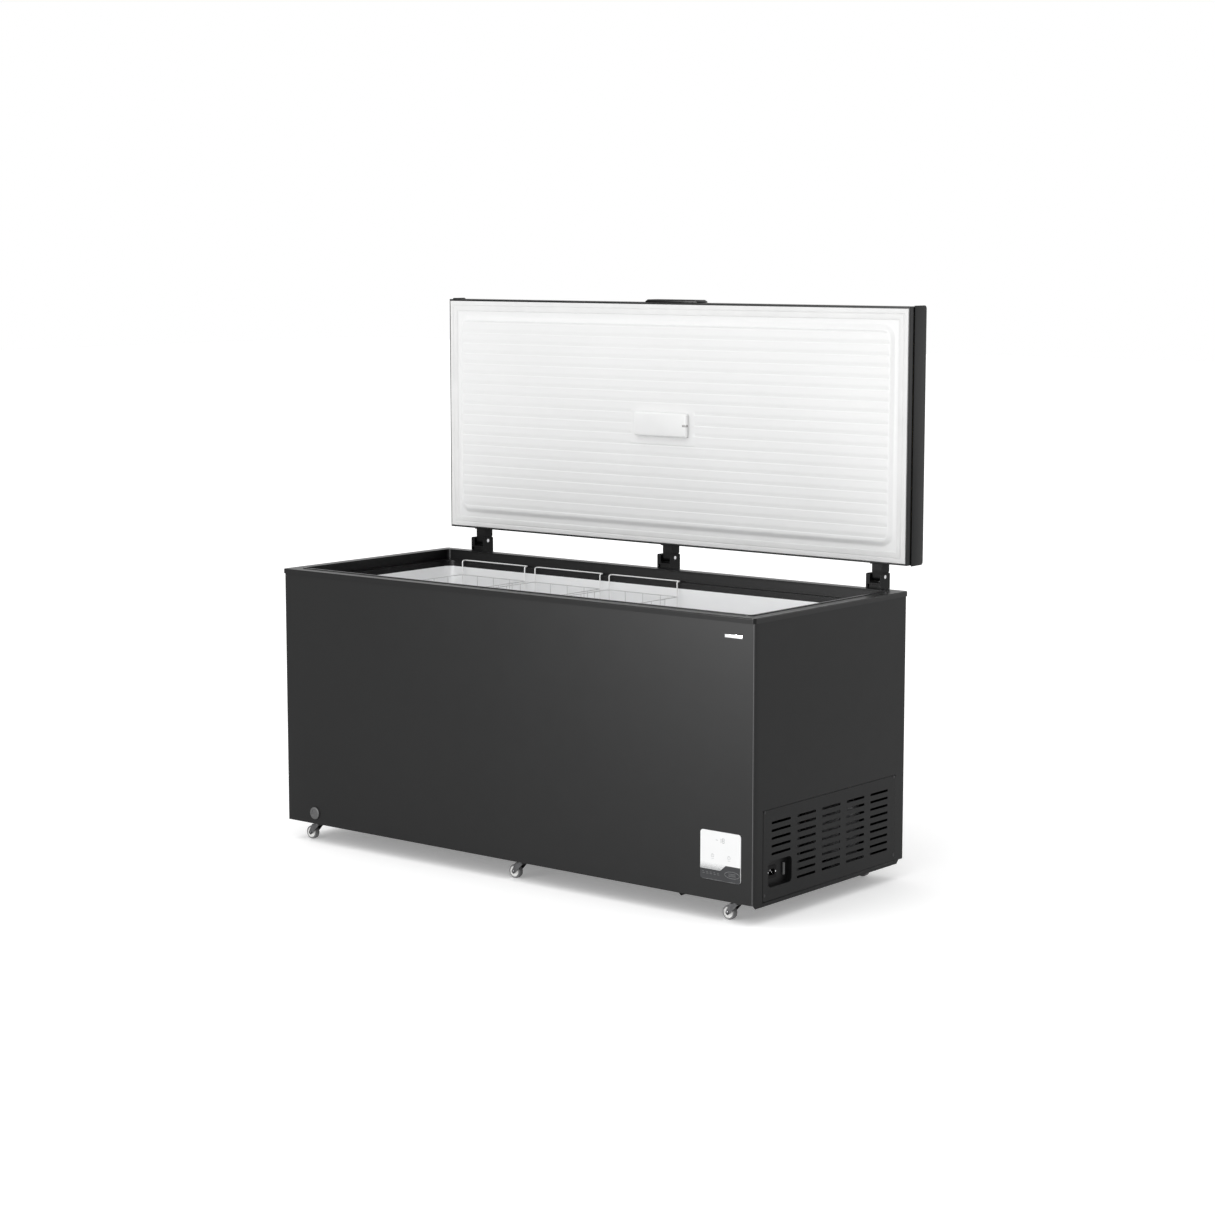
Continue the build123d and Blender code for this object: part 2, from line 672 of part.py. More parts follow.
plateau_x, plateau_v, plateau_rise, plateau_corner = 771.0, 294.25, 8.0, 36.0
liner_sheet = 1.6
rib_count, rib_pitch, rib_length = 19, 30.3, 1529.0
lamp_pad = (228.0, 112.0)
with BuildPart() as lid_liner:
    with BuildSketch(lid_plane.offset(-liner_sheet)):
        Rectangle(2 * liner_half_x - 0.4, 2 * liner_half_v - 0.4)
    extrude(amount=liner_sheet)
    with BuildSketch(lid_plane):
        RectangleRounded(2 * plateau_x, 2 * plateau_v, plateau_corner)
    extrude(amount=plateau_rise)
    fillet(lid_liner.faces().sort_by(Axis.Y)[0].edges(), 4)
    with BuildSketch(lid_plane.offset(-liner_sheet)):
        RectangleRounded(
            2 * (plateau_x - liner_sheet), 2 * (plateau_v - liner_sheet), plateau_corner - liner_sheet
        )
    extrude(amount=plateau_rise, mode=Mode.SUBTRACT)
    with BuildSketch(lid_plane.offset(plateau_rise)):
        with GridLocations(1, rib_pitch, 1, rib_count):
            Rectangle(rib_length, 2.4)
    extrude(amount=-0.7, mode=Mode.SUBTRACT)
    with BuildSketch(lid_plane.offset(plateau_rise - 0.8)):
        RectangleRounded(lamp_pad[0], lamp_pad[1], 6)
    extrude(amount=1.2)
save(lid_liner, "lid_liner")

with BuildPart() as lid_foam:
    with BuildSketch(lid_plane.offset(-lid_thick + sheet)):
        Rectangle(2 * lid_panel_half - 0.4, lid_height - 2 * sheet)
    extrude(amount=lid_thick - trim_depth - sheet)
    fillet(lid_foam.edges().filter_by(Axis.X).group_by(Axis.Y)[-1], 7)
    with BuildSketch(lid_plane.offset(-trim_depth)):
        Rectangle(2 * liner_half_x - 0.4, 2 * liner_half_v - 0.4)
    extrude(amount=trim_depth - liner_sheet)
    with BuildSketch(lid_plane.offset(-liner_sheet)):
        RectangleRounded(2 * plateau_x - 5, 2 * plateau_v - 5, plateau_corner - 2)
    extrude(amount=plateau_rise - 0.2)
save(lid_foam, "lid_foam")

gasket_out, gasket_in, gasket_height = (808.0, 336.5), (781.0, 307.0), 2.4
with BuildPart() as lid_gasket:
    add(ring(lid_plane, gasket_out, gasket_in, gasket_height, 3, 2))
save(lid_gasket, "lid_gasket")

lamp_plane = lid_plane.offset(plateau_rise + 0.4)
with BuildPart() as lamp_cover:
    with BuildSketch(lamp_plane):
        RectangleRounded(188, 67, 7)
    extrude(amount=12)
    fillet(lamp_cover.faces().sort_by(Axis.Y)[0].edges(), 5)
    offset(amount=-1.6, openings=lamp_cover.faces().sort_by(Axis.Y)[-1])
save(lamp_cover, "lamp_cover")

with BuildPart() as lamp_board:
    with BuildSketch(lamp_plane):
        Rectangle(150, 30)
    extrude(amount=1.6)
    with BuildSketch(lamp_plane.offset(1.6)):
        with GridLocations(22, 1, 6, 1):
            Rectangle(6, 6)
    extrude(amount=1.5)
save(lamp_board, "lamp_board")

handle_plane = Plane(origin=(0, 0, lid_low + lid_height), x_dir=(1, 0, 0), z_dir=(0, 0, 1))
with BuildPart() as lid_handle:
    with BuildSketch(handle_plane):
        with Locations((0, centre_y + 405.5)):
            Rectangle(186, 49)
    extrude(amount=8)
    chamfer(lid_handle.faces().sort_by(Axis.Z)[-1].edges().filter_by(Axis.Y), 7, 12)
    fillet(lid_handle.faces().sort_by(Axis.Z)[-1].edges().filter_by(Axis.X), 3)
save(lid_handle, "lid_handle")

# ---- Baskets ------------------------------------------------------------------------------------
hanger_reach = 287.0
basket_half = basket_length / 2
for basket_name, basket_x in zip(("left", "middle", "right"), basket_xs):
    with BuildPart() as basket:
        with BuildSketch(Plane(origin=(basket_x, centre_y, basket_top), z_dir=(0, 0, 1))):
            RectangleRounded(basket_width, basket_length, 14)
        extrude(amount=-basket_height)
        offset(amount=-3.0, openings=basket.faces().sort_by(Axis.Z)[-1])
        for way in (-1, 1):
            half = basket_width / 2 - 4
            leg_y = centre_y + way * (basket_half - 1.5)
            hook_y = centre_y + way * hanger_reach
            hook_z = ledge_z + wire_radius + 0.3
            hook_points = [
                (basket_x - half, leg_y, basket_top - 8),
                (basket_x - half, leg_y, hook_z),
                (basket_x - half, hook_y, hook_z),
                (basket_x + half, hook_y, hook_z),
                (basket_x + half, leg_y, hook_z),
                (basket_x + half, leg_y, basket_top - 8),
            ]
            with BuildLine() as hook_path:
                FilletPolyline(*hook_points, radius=5)
            with BuildSketch(Plane(origin=hook_points[0], z_dir=(0, 0, 1))):
                Circle(wire_radius)
            sweep(path=hook_path.wire())
    save(basket, f"basket_{basket_name}")

# ---- Castors ------------------------------------------------------------------------------------
plate_thick, plate_side, kingpin_radius = 2.0, 40.0, 3.5
castor_places = [(x, centre_y + y) for y in castor_ys for x in castor_xs]
with BuildPart() as castor_plates:
    for place_x, place_y in castor_places:
        with Locations((place_x, place_y, base_z - plate_thick / 2)):
            Box(plate_side, plate_side, plate_thick)
        with Locations((place_x, place_y, base_z - plate_thick - 5.5)):
            Cylinder(kingpin_radius, 11)
save(castor_plates, "castor_plates")

axle_radius, axle_z = 3.0, wheel_radius
cheek_gap, cheek_thick = 9.5, 2.0
crown_top = base_z - plate_thick - 0.4
crown_low = crown_top - 9.0
for number, (place_x, place_y) in enumerate(castor_places, start=1):
    axle_x = place_x - castor_trail
    with BuildPart() as castor_fork:
        with BuildSketch(Plane(origin=(place_x, place_y, crown_low), z_dir=(0, 0, 1))):
            Circle(12)
        extrude(amount=crown_top - crown_low)
        with Locations((place_x - 1, place_y, crown_low - 1)):
            Box(26, 2 * (cheek_gap + cheek_thick), 2)
        with BuildSketch(Plane(origin=(0, place_y, 0), x_dir=(1, 0, 0), z_dir=(0, -1, 0))):
            with BuildLine():
                Polyline(
                    (place_x - 14, crown_low),
                    (place_x + 12, crown_low),
                    (axle_x + 6.5, axle_z - 2.5),
                    (axle_x, axle_z - 7),
                    (axle_x - 6.5, axle_z),
                    close=True,
                )
            make_face()
        extrude(amount=cheek_gap + cheek_thick, both=True)
        with Locations((place_x - 10, place_y, crown_low - 2 - 25)):
            Box(60, 2 * cheek_gap, 50, mode=Mode.SUBTRACT)
        with Locations((place_x, place_y, crown_low + 6)):
            Cylinder(kingpin_radius + running_gap, 30, mode=Mode.SUBTRACT)
        with BuildSketch(Plane(origin=(axle_x, place_y, axle_z), x_dir=(1, 0, 0), z_dir=(0, -1, 0))):
            Circle(axle_radius)
        extrude(amount=cheek_gap + cheek_thick + 1, both=True)
    save(castor_fork, f"castor_fork_{number}")

    with BuildPart() as castor_wheel:
        wheel_plane = Plane(origin=(axle_x, place_y, axle_z), x_dir=(1, 0, 0), z_dir=(0, -1, 0))
        with BuildSketch(wheel_plane):
            Circle(wheel_radius)
            Circle(13.55, mode=Mode.SUBTRACT)
        extrude(amount=wheel_width / 2, both=True)
        tread = castor_wheel.edges().filter_by(GeomType.CIRCLE).sort_by(SortBy.RADIUS)[-2:]
        fillet(tread, 3)
        with BuildSketch(wheel_plane):
            Circle(13.5)
            Circle(axle_radius + running_gap, mode=Mode.SUBTRACT)
        extrude(amount=wheel_width / 2, both=True)
    save(castor_wheel, f"castor_wheel_{number}")
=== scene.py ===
"""Looks of the chest freezer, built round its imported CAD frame.

Metres, with +Z up and the front facing -Y.
"""

import json
import math

import bmesh
import bpy
from mathutils import Matrix, Vector


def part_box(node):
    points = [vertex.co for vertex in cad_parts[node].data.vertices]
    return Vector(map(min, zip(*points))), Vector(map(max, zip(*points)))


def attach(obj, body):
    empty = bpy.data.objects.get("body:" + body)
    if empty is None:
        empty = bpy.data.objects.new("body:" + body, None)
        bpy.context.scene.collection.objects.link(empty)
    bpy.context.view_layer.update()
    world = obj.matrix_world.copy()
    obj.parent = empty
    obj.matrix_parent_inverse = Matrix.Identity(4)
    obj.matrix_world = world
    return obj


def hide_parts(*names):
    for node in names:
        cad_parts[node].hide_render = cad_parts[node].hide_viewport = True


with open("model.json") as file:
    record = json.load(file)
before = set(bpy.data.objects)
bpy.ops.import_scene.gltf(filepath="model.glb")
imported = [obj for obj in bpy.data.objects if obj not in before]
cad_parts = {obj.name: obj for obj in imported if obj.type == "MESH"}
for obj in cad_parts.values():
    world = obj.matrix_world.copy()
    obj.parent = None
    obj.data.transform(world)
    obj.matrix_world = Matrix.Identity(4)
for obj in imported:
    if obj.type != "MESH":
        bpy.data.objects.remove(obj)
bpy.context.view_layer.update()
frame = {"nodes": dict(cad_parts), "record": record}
nodes = frame["nodes"]
MM = 0.001
TINY = 1e-5  # two places closer than this are the same
SIDES = ("left", "middle", "right")  # of the hinges and of the baskets
CASTORS = range(1, 7)


def box(name):
    """A node's lowest and highest corners, as vectors."""
    low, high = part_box(name)
    return Vector(low), Vector(high)


# ---- Places taken from the frame ----------------------------------------------------------------
RAISED_EDGE = 1.75 * MM  # the mouth's bead above the top frame's outer edge
rim_low, rim_high = box("top_frame")
rim_z = rim_high.z - RAISED_EDGE
centre_y = (rim_low.y + rim_high.y) / 2
front_y = box("front_panel")[0].y
side_x = box("right_side_panel")[1].x
base_z = box("front_panel")[0].z
skin_top = box("front_panel")[1].z
lid_face_y = box("lid_trim")[0].y


def at(x, y, z):
    """A point given in millimetres from the middle of the top frame's outer edge."""
    return Vector((x * MM, centre_y + y * MM, rim_z + z * MM))


# ---- Materials ----------------------------------------------------------------------------------
GLOSS_SPREAD = 0.02  # how far the roughness wanders either way
materials = {}


def material(
    name, colour, rough, metal=0.0, vary=0.08, blotch=6.0, grain=900.0, bump=0.05, depth=0.2, **extra
):
    """A procedural finish: slow colour drift, uneven gloss and a fine surface grain.

    vary is the colour drift's share and blotch its scale. grain is the relief's scale, bump its strength
    and depth its height in millimetres. The rest goes to the shader's inputs by name.
    """
    made = bpy.data.materials.new(name)
    made.use_nodes = True
    tree = made.node_tree
    shader = tree.nodes["Principled BSDF"]
    shader.inputs["Metallic"].default_value = metal
    for key, value in extra.items():
        shader.inputs[key.replace("_", " ")].default_value = value
    place = tree.nodes.new("ShaderNodeTexCoord")

    def noise(scale, detail):
        texture = tree.nodes.new("ShaderNodeTexNoise")
        texture.inputs["Scale"].default_value = scale
        texture.inputs["Detail"].default_value = detail
        tree.links.new(place.outputs["Object"], texture.inputs["Vector"])
        return texture.outputs["Fac"]

    drift = noise(blotch, 3.0)
    ramp = tree.nodes.new("ShaderNodeValToRGB")
    ramp.color_ramp.elements[0].position = 0.3
    ramp.color_ramp.elements[1].position = 0.7
    ramp.color_ramp.elements[0].color = [c * (1 - vary) for c in colour] + [1]
    ramp.color_ramp.elements[1].color = [min(c * (1 + vary), 1) for c in colour] + [1]
    tree.links.new(drift, ramp.inputs["Fac"])
    tree.links.new(ramp.outputs["Color"], shader.inputs["Base Color"])
    gloss = tree.nodes.new("ShaderNodeMapRange")
    gloss.inputs["To Min"].default_value = rough - GLOSS_SPREAD
    gloss.inputs["To Max"].default_value = rough + GLOSS_SPREAD
    tree.links.new(noise(blotch * 9, 5.0), gloss.inputs["Value"])
    tree.links.new(gloss.outputs["Result"], shader.inputs["Roughness"])
    relief = tree.nodes.new("ShaderNodeBump")
    relief.inputs["Strength"].default_value = bump
    relief.inputs["Distance"].default_value = depth * MM
    tree.links.new(noise(grain, 2.0), relief.inputs["Height"])
    tree.links.new(relief.outputs["Normal"], shader.inputs["Normal"])
    materials[name] = made
    return made


DULL = {"Specular_IOR_Level": 0.13}
material(
    "steel_skin", (0.0062, 0.0063, 0.0065), 0.42,
    vary=0.05, blotch=2.2, grain=700, bump=0.20, depth=0.10, **DULL,
)
# A lighter finish for the front corners' bends: a painted highlight along each bend.
material("skin_fold_highlight", (0.085, 0.086, 0.088), 0.38, vary=0.08, blotch=20, grain=700, bump=0.2, depth=0.1)
material(
    "frame_plastic", (0.006, 0.0061, 0.0063), 0.30,
    vary=0.08, blotch=9, grain=90, bump=0.03, depth=0.05, Specular_IOR_Level=0.16,
)
material(
    "lid_trim_plastic", (0.004, 0.004, 0.0042), 0.40,
    vary=0.1, blotch=9, grain=1500, bump=0.12, depth=0.06, **DULL,
)
material(
    "black_plastic", (0.004, 0.004, 0.0042), 0.46,
    vary=0.12, blotch=30, grain=1800, bump=0.2, depth=0.05, Specular_IOR_Level=0.07,
)
material(
    "grille_plastic", (0.0068, 0.0069, 0.0071), 0.46,
    vary=0.08, blotch=12, grain=1600, bump=0.25, depth=0.08, **DULL,
)
# A lighter grey for the rib in the inlet pocket: a painted highlight on its lit wall.
material("pocket_clip", (0.10, 0.10, 0.10), 0.45, vary=0.1, blotch=40, grain=1600, bump=0.2, depth=0.05)
material("tub_white", (0.88, 0.885, 0.89), 0.42, vary=0.03, blotch=3, grain=160, bump=0.30, depth=0.35)
material(
    "liner_plastic", (0.81, 0.812, 0.81), 0.45,
    vary=0.012, blotch=3, grain=1200, bump=0.08, depth=0.05, **DULL,
)
material(
    "gasket_white", (0.76, 0.76, 0.757), 0.6,
    vary=0.03, blotch=14, grain=2200, bump=0.2, depth=0.05, **DULL,
)
material(
    "lamp_diffuser", (0.82, 0.822, 0.82), 0.38,
    vary=0.01, blotch=20, grain=900, bump=0.05, depth=0.05, **DULL,
)
# Mid grey for the screwdriver notch at the lamp cover's end: painted shade standing in for the notch's
# hollow.
material("lamp_notch", (0.30, 0.30, 0.29), 0.45, vary=0.1, blotch=40, grain=1500, bump=0.1, depth=0.05)
material("basket_wire", (0.80, 0.80, 0.795), 0.34, vary=0.04, blotch=30, grain=1500, bump=0.15, depth=0.06)
material("basket_mesh", (0.55, 0.55, 0.55), 0.4, vary=0.05, blotch=30, grain=1500, bump=0.15, depth=0.06)
material(
    "fork_steel", (0.07, 0.07, 0.072), 0.36,
    metal=1.0, vary=0.25, blotch=60, grain=500, bump=0.12, depth=0.06,
)
material(
    "zinc_steel", (0.46, 0.46, 0.47), 0.38,
    metal=1.0, vary=0.12, blotch=26, grain=500, bump=0.12, depth=0.06,
)
material(
    "black_zinc", (0.05, 0.05, 0.052), 0.35,
    metal=1.0, vary=0.2, blotch=40, grain=900, bump=0.15, depth=0.05,
)
material(
    "copper", (0.72, 0.36, 0.22), 0.32,
    metal=1.0, vary=0.12, blotch=24, grain=700, bump=0.1, depth=0.05,
)
material(
    "compressor_paint", (0.10, 0.10, 0.103), 0.34,
    vary=0.12, blotch=18, grain=420, bump=0.2, depth=0.12,
)
material("black_rubber", (0.02, 0.02, 0.02), 0.75, vary=0.15, blotch=60, grain=1200, bump=0.3, depth=0.08)
material(
    "panel_white", (0.80, 0.805, 0.805), 0.26,
    vary=0.006, blotch=6, grain=1500, bump=0.02, depth=0.03, **DULL,
)
material(
    "panel_grey", (0.040, 0.041, 0.0435), 0.36,
    vary=0.10, blotch=30, grain=1500, bump=0.05, depth=0.03, **DULL,
)
material("panel_print", (0.20, 0.205, 0.21), 0.35, vary=0.04, blotch=60, grain=1500, bump=0.05, depth=0.03)
material("panel_line", (0.20, 0.205, 0.21), 0.35, vary=0.06, blotch=60, grain=1500, bump=0.05, depth=0.03)
material("board", (0.03, 0.13, 0.06), 0.5, vary=0.2, blotch=90, grain=900, bump=0.2, depth=0.05)
material(
    "badge_metal", (0.62, 0.625, 0.63), 0.26,
    metal=1.0, vary=0.05, blotch=50, grain=900, bump=0.08, depth=0.04,
)
material("grey_plastic", (0.038, 0.0383, 0.039), 0.5, vary=0.1, blotch=30, grain=1600, bump=0.3, depth=0.06)
material("castor_tyre", (0.13, 0.13, 0.132), 0.62, vary=0.12, blotch=60, grain=1400, bump=0.3, depth=0.08)
material("castor_hub", (0.80, 0.80, 0.79), 0.42, vary=0.04, blotch=60, grain=1400, bump=0.15, depth=0.05)
# Near black, laid on the body's foam: a dark bay wall together with the painted shade of the compressor bay
# seen through the grille's slots.
material(
    "bay_wall_and_shade", (0.012, 0.012, 0.0125), 0.8,
    vary=0.15, blotch=20, grain=600, bump=0.3, depth=0.3, **DULL,
)
material("foam", (0.74, 0.64, 0.38), 0.85, vary=0.1, blotch=30, grain=600, bump=0.5, depth=0.4)

# These CAD nodes take a finish of their own; all the others take the finish named after their slot.
OWN_FINISH = {
    "lid_trim": "lid_trim_plastic",
    "frame_collar": "lid_trim_plastic",
    "condenser": "fork_steel",
    # The foam takes the near-black bay finish, which paints the shade inside the compressor bay.
    "cabinet_foam": "bay_wall_and_shade",
    "fan_shroud": "grille_plastic",
    "castor_plates": "fork_steel",
    "compressor_tray": "grille_plastic",
}
OWN_FINISH.update({f"castor_fork_{number}": "fork_steel" for number in CASTORS})
SLOT_FINISH = {"black_screw": "black_zinc"}  # the one slot without a finish of its own name
slot_of = {part["node"]: part["material_slot"] for part in frame["record"]["subparts"]}
for node_name, cad_object in nodes.items():
    wanted = OWN_FINISH.get(node_name, slot_of[node_name])
    wanted = SLOT_FINISH.get(wanted, wanted)
    for cad_slot in cad_object.material_slots:
        cad_slot.link = "OBJECT"
        cad_slot.material = materials[wanted]


# ---- Mesh tools ---------------------------------------------------------------------------------
SHARP_ANGLE = 35.0  # degrees; softer edges are shaded smooth


def shade(mesh, sharp=SHARP_ANGLE):
    """Smooth shading, with the edges over an angle kept sharp."""
    mesh.polygons.foreach_set("use_smooth", [True] * len(mesh.polygons))
    mesh.set_sharp_from_angle(angle=math.radians(sharp))


class Shape:
    """Collects solids in one mesh, then turns it into a piece that rides on a body."""

    def __init__(self):
        self.bm = bmesh.new()

    def circle(self, centre, side, up, radius, steps):
        """A ring of points round a centre, on the plane of two directions."""
        turns = (2 * math.pi * k / steps for k in range(steps))
        return [
            self.bm.verts.new(centre + (side * math.cos(t) + up * math.sin(t)) * radius) for t in turns
        ]

    def box(self, low, high, radius=0.0, segments=3):
        """A block between two corners, with its edges rounded if a radius is given."""
        low, high = Vector(low), Vector(high)
        size = high - low
        place = Matrix.Translation((low + high) / 2) @ Matrix.Diagonal((*size, 1))
        made = bmesh.ops.create_cube(self.bm, size=1, matrix=place)["verts"]
        if radius:
            self.round_edges({e for v in made for e in v.link_edges}, radius, segments)

    def round_edges(self, edges, radius, segments=3):
        """Rounds some of the mesh's edges."""
        bmesh.ops.bevel(
            self.bm, geom=list(edges), offset=radius, segments=segments, profile=0.5, affect="EDGES"
        )

    def prism(self, outline, first, second, radius=0.0, segments=2):
        """A solid between two copies of an outline; first and second place a 2-D point in space."""
        bottom = [self.bm.verts.new(first(a, b)) for a, b in outline]
        top = [self.bm.verts.new(second(a, b)) for a, b in outline]
        faces = [self.bm.faces.new(bottom[::-1]), self.bm.faces.new(top)]
        for i in range(len(outline)):
            j = (i + 1) % len(outline)
            faces.append(self.bm.faces.new((bottom[i], bottom[j], top[j], top[i])))
        if radius:
            self.round_edges(set(faces[1].edges), radius, segments)

    def lathe(self, profile, centre, axis, steps=32, closed=True):
        """Turns (radius, height) points about an axis. A closed profile is a loop round a hole."""
        axis = Vector(axis).normalized()
        side = axis.orthogonal().normalized()
        up = axis.cross(side)
        rings = []
        for radius, height in profile:
            middle = Vector(centre) + axis * height
            if radius == 0:
                rings.append([self.bm.verts.new(middle)])
                continue
            rings.append(self.circle(middle, side, up, radius, steps))
        pairs = list(zip(rings, rings[1:]))
        if closed:
            pairs.append((rings[-1], rings[0]))
        for lower, upper in pairs:
            for k in range(steps):
                n = (k + 1) % steps
                if len(lower) == 1:
                    self.bm.faces.new((lower[0], upper[n], upper[k]))
                elif len(upper) == 1:
                    self.bm.faces.new((lower[k], lower[n], upper[0]))
                else:
                    self.bm.faces.new((lower[k], lower[n], upper[n], upper[k]))

    def tube(self, path, radius, steps=8, closed=False):
        """A round wire along a path of points."""
        count = len(path)
        rings, side = [], None
        for i, point in enumerate(path):
            before = path[i - 1] if i or closed else path[0]
            after = path[(i + 1) % count] if i < count - 1 or closed else path[-1]
            along = (Vector(after) - Vector(before)).normalized()
            side = along.orthogonal() if side is None else side - along * side.dot(along)
            side.normalize()
            up = along.cross(side)
            rings.append(self.circle(Vector(point), side, up, radius, steps))
        for i in range(count if closed else count - 1):
            lower, upper = rings[i], rings[(i + 1) % count]
            shift = 0
            if closed and i == count - 1:
                shift = min(range(steps), key=lambda s: (upper[s].co - lower[0].co).length)
            for k in range(steps):
                n = (k + 1) % steps
                self.bm.faces.new(
                    (lower[k], lower[n], upper[(n + shift) % steps], upper[(k + shift) % steps])
                )
        if not closed:
            self.bm.faces.new(rings[0][::-1])
            self.bm.faces.new(rings[-1])

    def make(self, name, finish, body, replaces=(), sharp=SHARP_ANGLE):
        """Finishes the mesh as a piece of the object."""
        bmesh.ops.recalc_face_normals(self.bm, faces=self.bm.faces[:])
        mesh = bpy.data.meshes.new(name)
        self.bm.to_mesh(mesh)
        self.bm.free()
        piece = bpy.data.objects.new(name, mesh)
        bpy.context.scene.collection.objects.link(piece)
        for each in [finish] if isinstance(finish, str) else finish:
            mesh.materials.append(materials[each])
        shade(mesh, sharp)
        if body:
            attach(piece, body)
        if replaces:
            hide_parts(*replaces)
        return piece


def rounded_path(points, radius, steps=5, closed=False):
    """The points of a path with each corner turned into a small curve."""
    path, count = [], len(points)
    for i, point in enumerate(points):
        if not closed and i in (0, count - 1):
            path.append(Vector(point))
            continue
        point = Vector(point)
        back = Vector(points[i - 1]) - point
        ahead = Vector(points[(i + 1) % count]) - point
        start = point + back.normalized() * min(radius, back.length / 2)
        end = point + ahead.normalized() * min(radius, ahead.length / 2)
        for k in range(steps + 1):
            t = k / steps
            path.append(start * (1 - t) ** 2 + point * 2 * t * (1 - t) + end * t**2)
    return path


def rounded_rect(width, height, radius, steps=6):
    """A rectangle's outline round the origin, with arcs at its corners."""
    outline = []
    for sx, sy, start in ((1, 1, 0), (-1, 1, 90), (-1, -1, 180), (1, -1, 270)):
        cx, cy = sx * (width / 2 - radius), sy * (height / 2 - radius)
        for k in range(steps + 1):
            t = math.radians(start + 90 * k / steps)
            outline.append((cx + radius * math.cos(t), cy + radius * math.sin(t)))
    return outline


def apply_modifiers(piece):
    """Turns a piece's modifiers into its mesh."""
    depsgraph = bpy.context.evaluated_depsgraph_get()
    mesh = bpy.data.meshes.new_from_object(piece.evaluated_get(depsgraph))
    piece.modifiers.clear()
    piece.data = mesh


def combine(piece, others, operation):
    """Joins other solids to a piece, or takes them away from it, and deletes them."""
    for other in others:
        step = piece.modifiers.new("combine", "BOOLEAN")
        step.operation = operation
        step.solver = "EXACT"
        step.object = other
    apply_modifiers(piece)
    for other in others:
        bpy.data.objects.remove(other)


def break_edges(piece, width, sharp):
    """Merges doubles after a cut, bevels the edges and sets the shading."""
    bm = bmesh.new()
    bm.from_mesh(piece.data)
    bmesh.ops.remove_doubles(bm, verts=bm.verts[:], dist=1e-6)
    bmesh.ops.dissolve_limit(bm, angle_limit=0.01, verts=bm.verts[:], edges=bm.edges[:])
    bm.to_mesh(piece.data)
    bm.free()
    step = piece.modifiers.new("edges", "BEVEL")
    step.width = width
    step.segments = 2
    step.limit_method = "ANGLE"
    step.angle_limit = math.radians(40)
    step.harden_normals = False
    apply_modifiers(piece)
    shade(piece.data, sharp)


def smooth(t):
    """A soft step from 0 to 1."""
    t = min(max(t, 0.0), 1.0)
    return t * t * (3 - 2 * t)


# ---- Cabinet skins ------------------------------------------------------------------------------
FOLD_RADIUS, FOLD_RETURN = 3.0 * MM, 26 * MM  # the bend at each corner and the strip round it
FOLD_STEPS = 6
SHEET = 0.7 * MM
PROUD = 0.25 * MM  # the folded strip stands this far outside the side skins
DRAIN_BORE = 10.3 * MM
TURNED = 0.2  # a face of the bend leans at least this much both ways


def front_skin():
    """The front sheet, folded round both front corners onto the sides, with a painted highlight along each
    bend.
    """
    edge = side_x + PROUD
    outer = []
    for side in (1, -1):
        arc = []
        for k in range(FOLD_STEPS + 1):
            t = math.radians(90 * k / FOLD_STEPS)
            x = side * (edge - FOLD_RADIUS + FOLD_RADIUS * math.cos(t))
            arc.append((x, front_y + FOLD_RADIUS - FOLD_RADIUS * math.sin(t)))
        run = [(side * edge, front_y + FOLD_RETURN)] + arc
        outer += run if side == 1 else run[::-1]
    shape = Shape()
    columns = []
    for i, (x, y) in enumerate(outer):
        before, after = outer[max(i - 1, 0)], outer[min(i + 1, len(outer) - 1)]
        along = Vector((after[0] - before[0], after[1] - before[1], 0)).normalized()
        inward = Vector((along.y, -along.x, 0)) * SHEET
        if inward.y < -1e-9 or inward.x * x > 1e-12:
            inward.negate()
        columns.append(
            [
                shape.bm.verts.new((x, y, base_z)),
                shape.bm.verts.new((x, y, skin_top)),
                shape.bm.verts.new((x + inward.x, y + inward.y, skin_top)),
                shape.bm.verts.new((x + inward.x, y + inward.y, base_z)),
            ]
        )
    for here, there in zip(columns, columns[1:]):
        for k in range(4):
            n = (k + 1) % 4
            shape.bm.faces.new((here[k], there[k], there[n], here[n]))
    shape.bm.faces.new(columns[0])
    shape.bm.faces.new(columns[-1][::-1])
    skin = shape.make("front_skin", ["steel_skin", "skin_fold_highlight"], "cabinet", ("front_panel",))
    drain = (box("drain_cap")[0] + box("drain_cap")[1]) / 2
    hole = Shape()
    hole.lathe(
        [(0, -0.02), (DRAIN_BORE, -0.02), (DRAIN_BORE, 0.02), (0, 0.02)],
        (drain.x, front_y, drain.z),
        (0, 1, 0),
        closed=False,
    )
    combine(skin, [hole.make("hole", "steel_skin", None)], "DIFFERENCE")
    # The bent faces take the lighter finish, a painted highlight down each front corner.
    for face in skin.data.polygons:
        turned = abs(face.normal.x) > TURNED and abs(face.normal.y) > TURNED
        face.material_index = 1 if turned and face.center.y < front_y + FOLD_RADIUS else 0
    shade(skin.data)


front_skin()


# ---- Vent grille --------------------------------------------------------------------------------
SLOT_COLUMNS, SLOT_ROWS, SLOT_LENGTH, SLOT_HEIGHT = 5, 9, 82.5, 6.5
SLOT_PITCH_Y, SLOT_PITCH_Z, FIRST_SLOT_Y, FIRST_SLOT_Z = 111.4, 19.9, -221.25, -525.5
FIRST_COLUMN_ROWS = 5  # the pocket takes the place of the first column's other slots
POCKET_Y, POCKET_Z = (-276.5, -174.5), (-690.0, -623.0)
POCKET_CORNER, POCKET_WALL = 12.0 * MM, 2.0 * MM
GRILLE_THICK = 2.5 * MM
PINS = ((-7, -2), (7, -2), (0, 3))  # the inlet's three pins, from its centre
LOUVRE = ((-0.2, 3.6), (-9.0, 7.6), (-9.0, 8.8), (-0.2, 4.8))  # a blade's section behind a slot
SCREW_HEAD = 3.8 * MM


def slots_in(column):
    """How many slots a column of the grille has."""
    return FIRST_COLUMN_ROWS if column == 0 else SLOT_ROWS


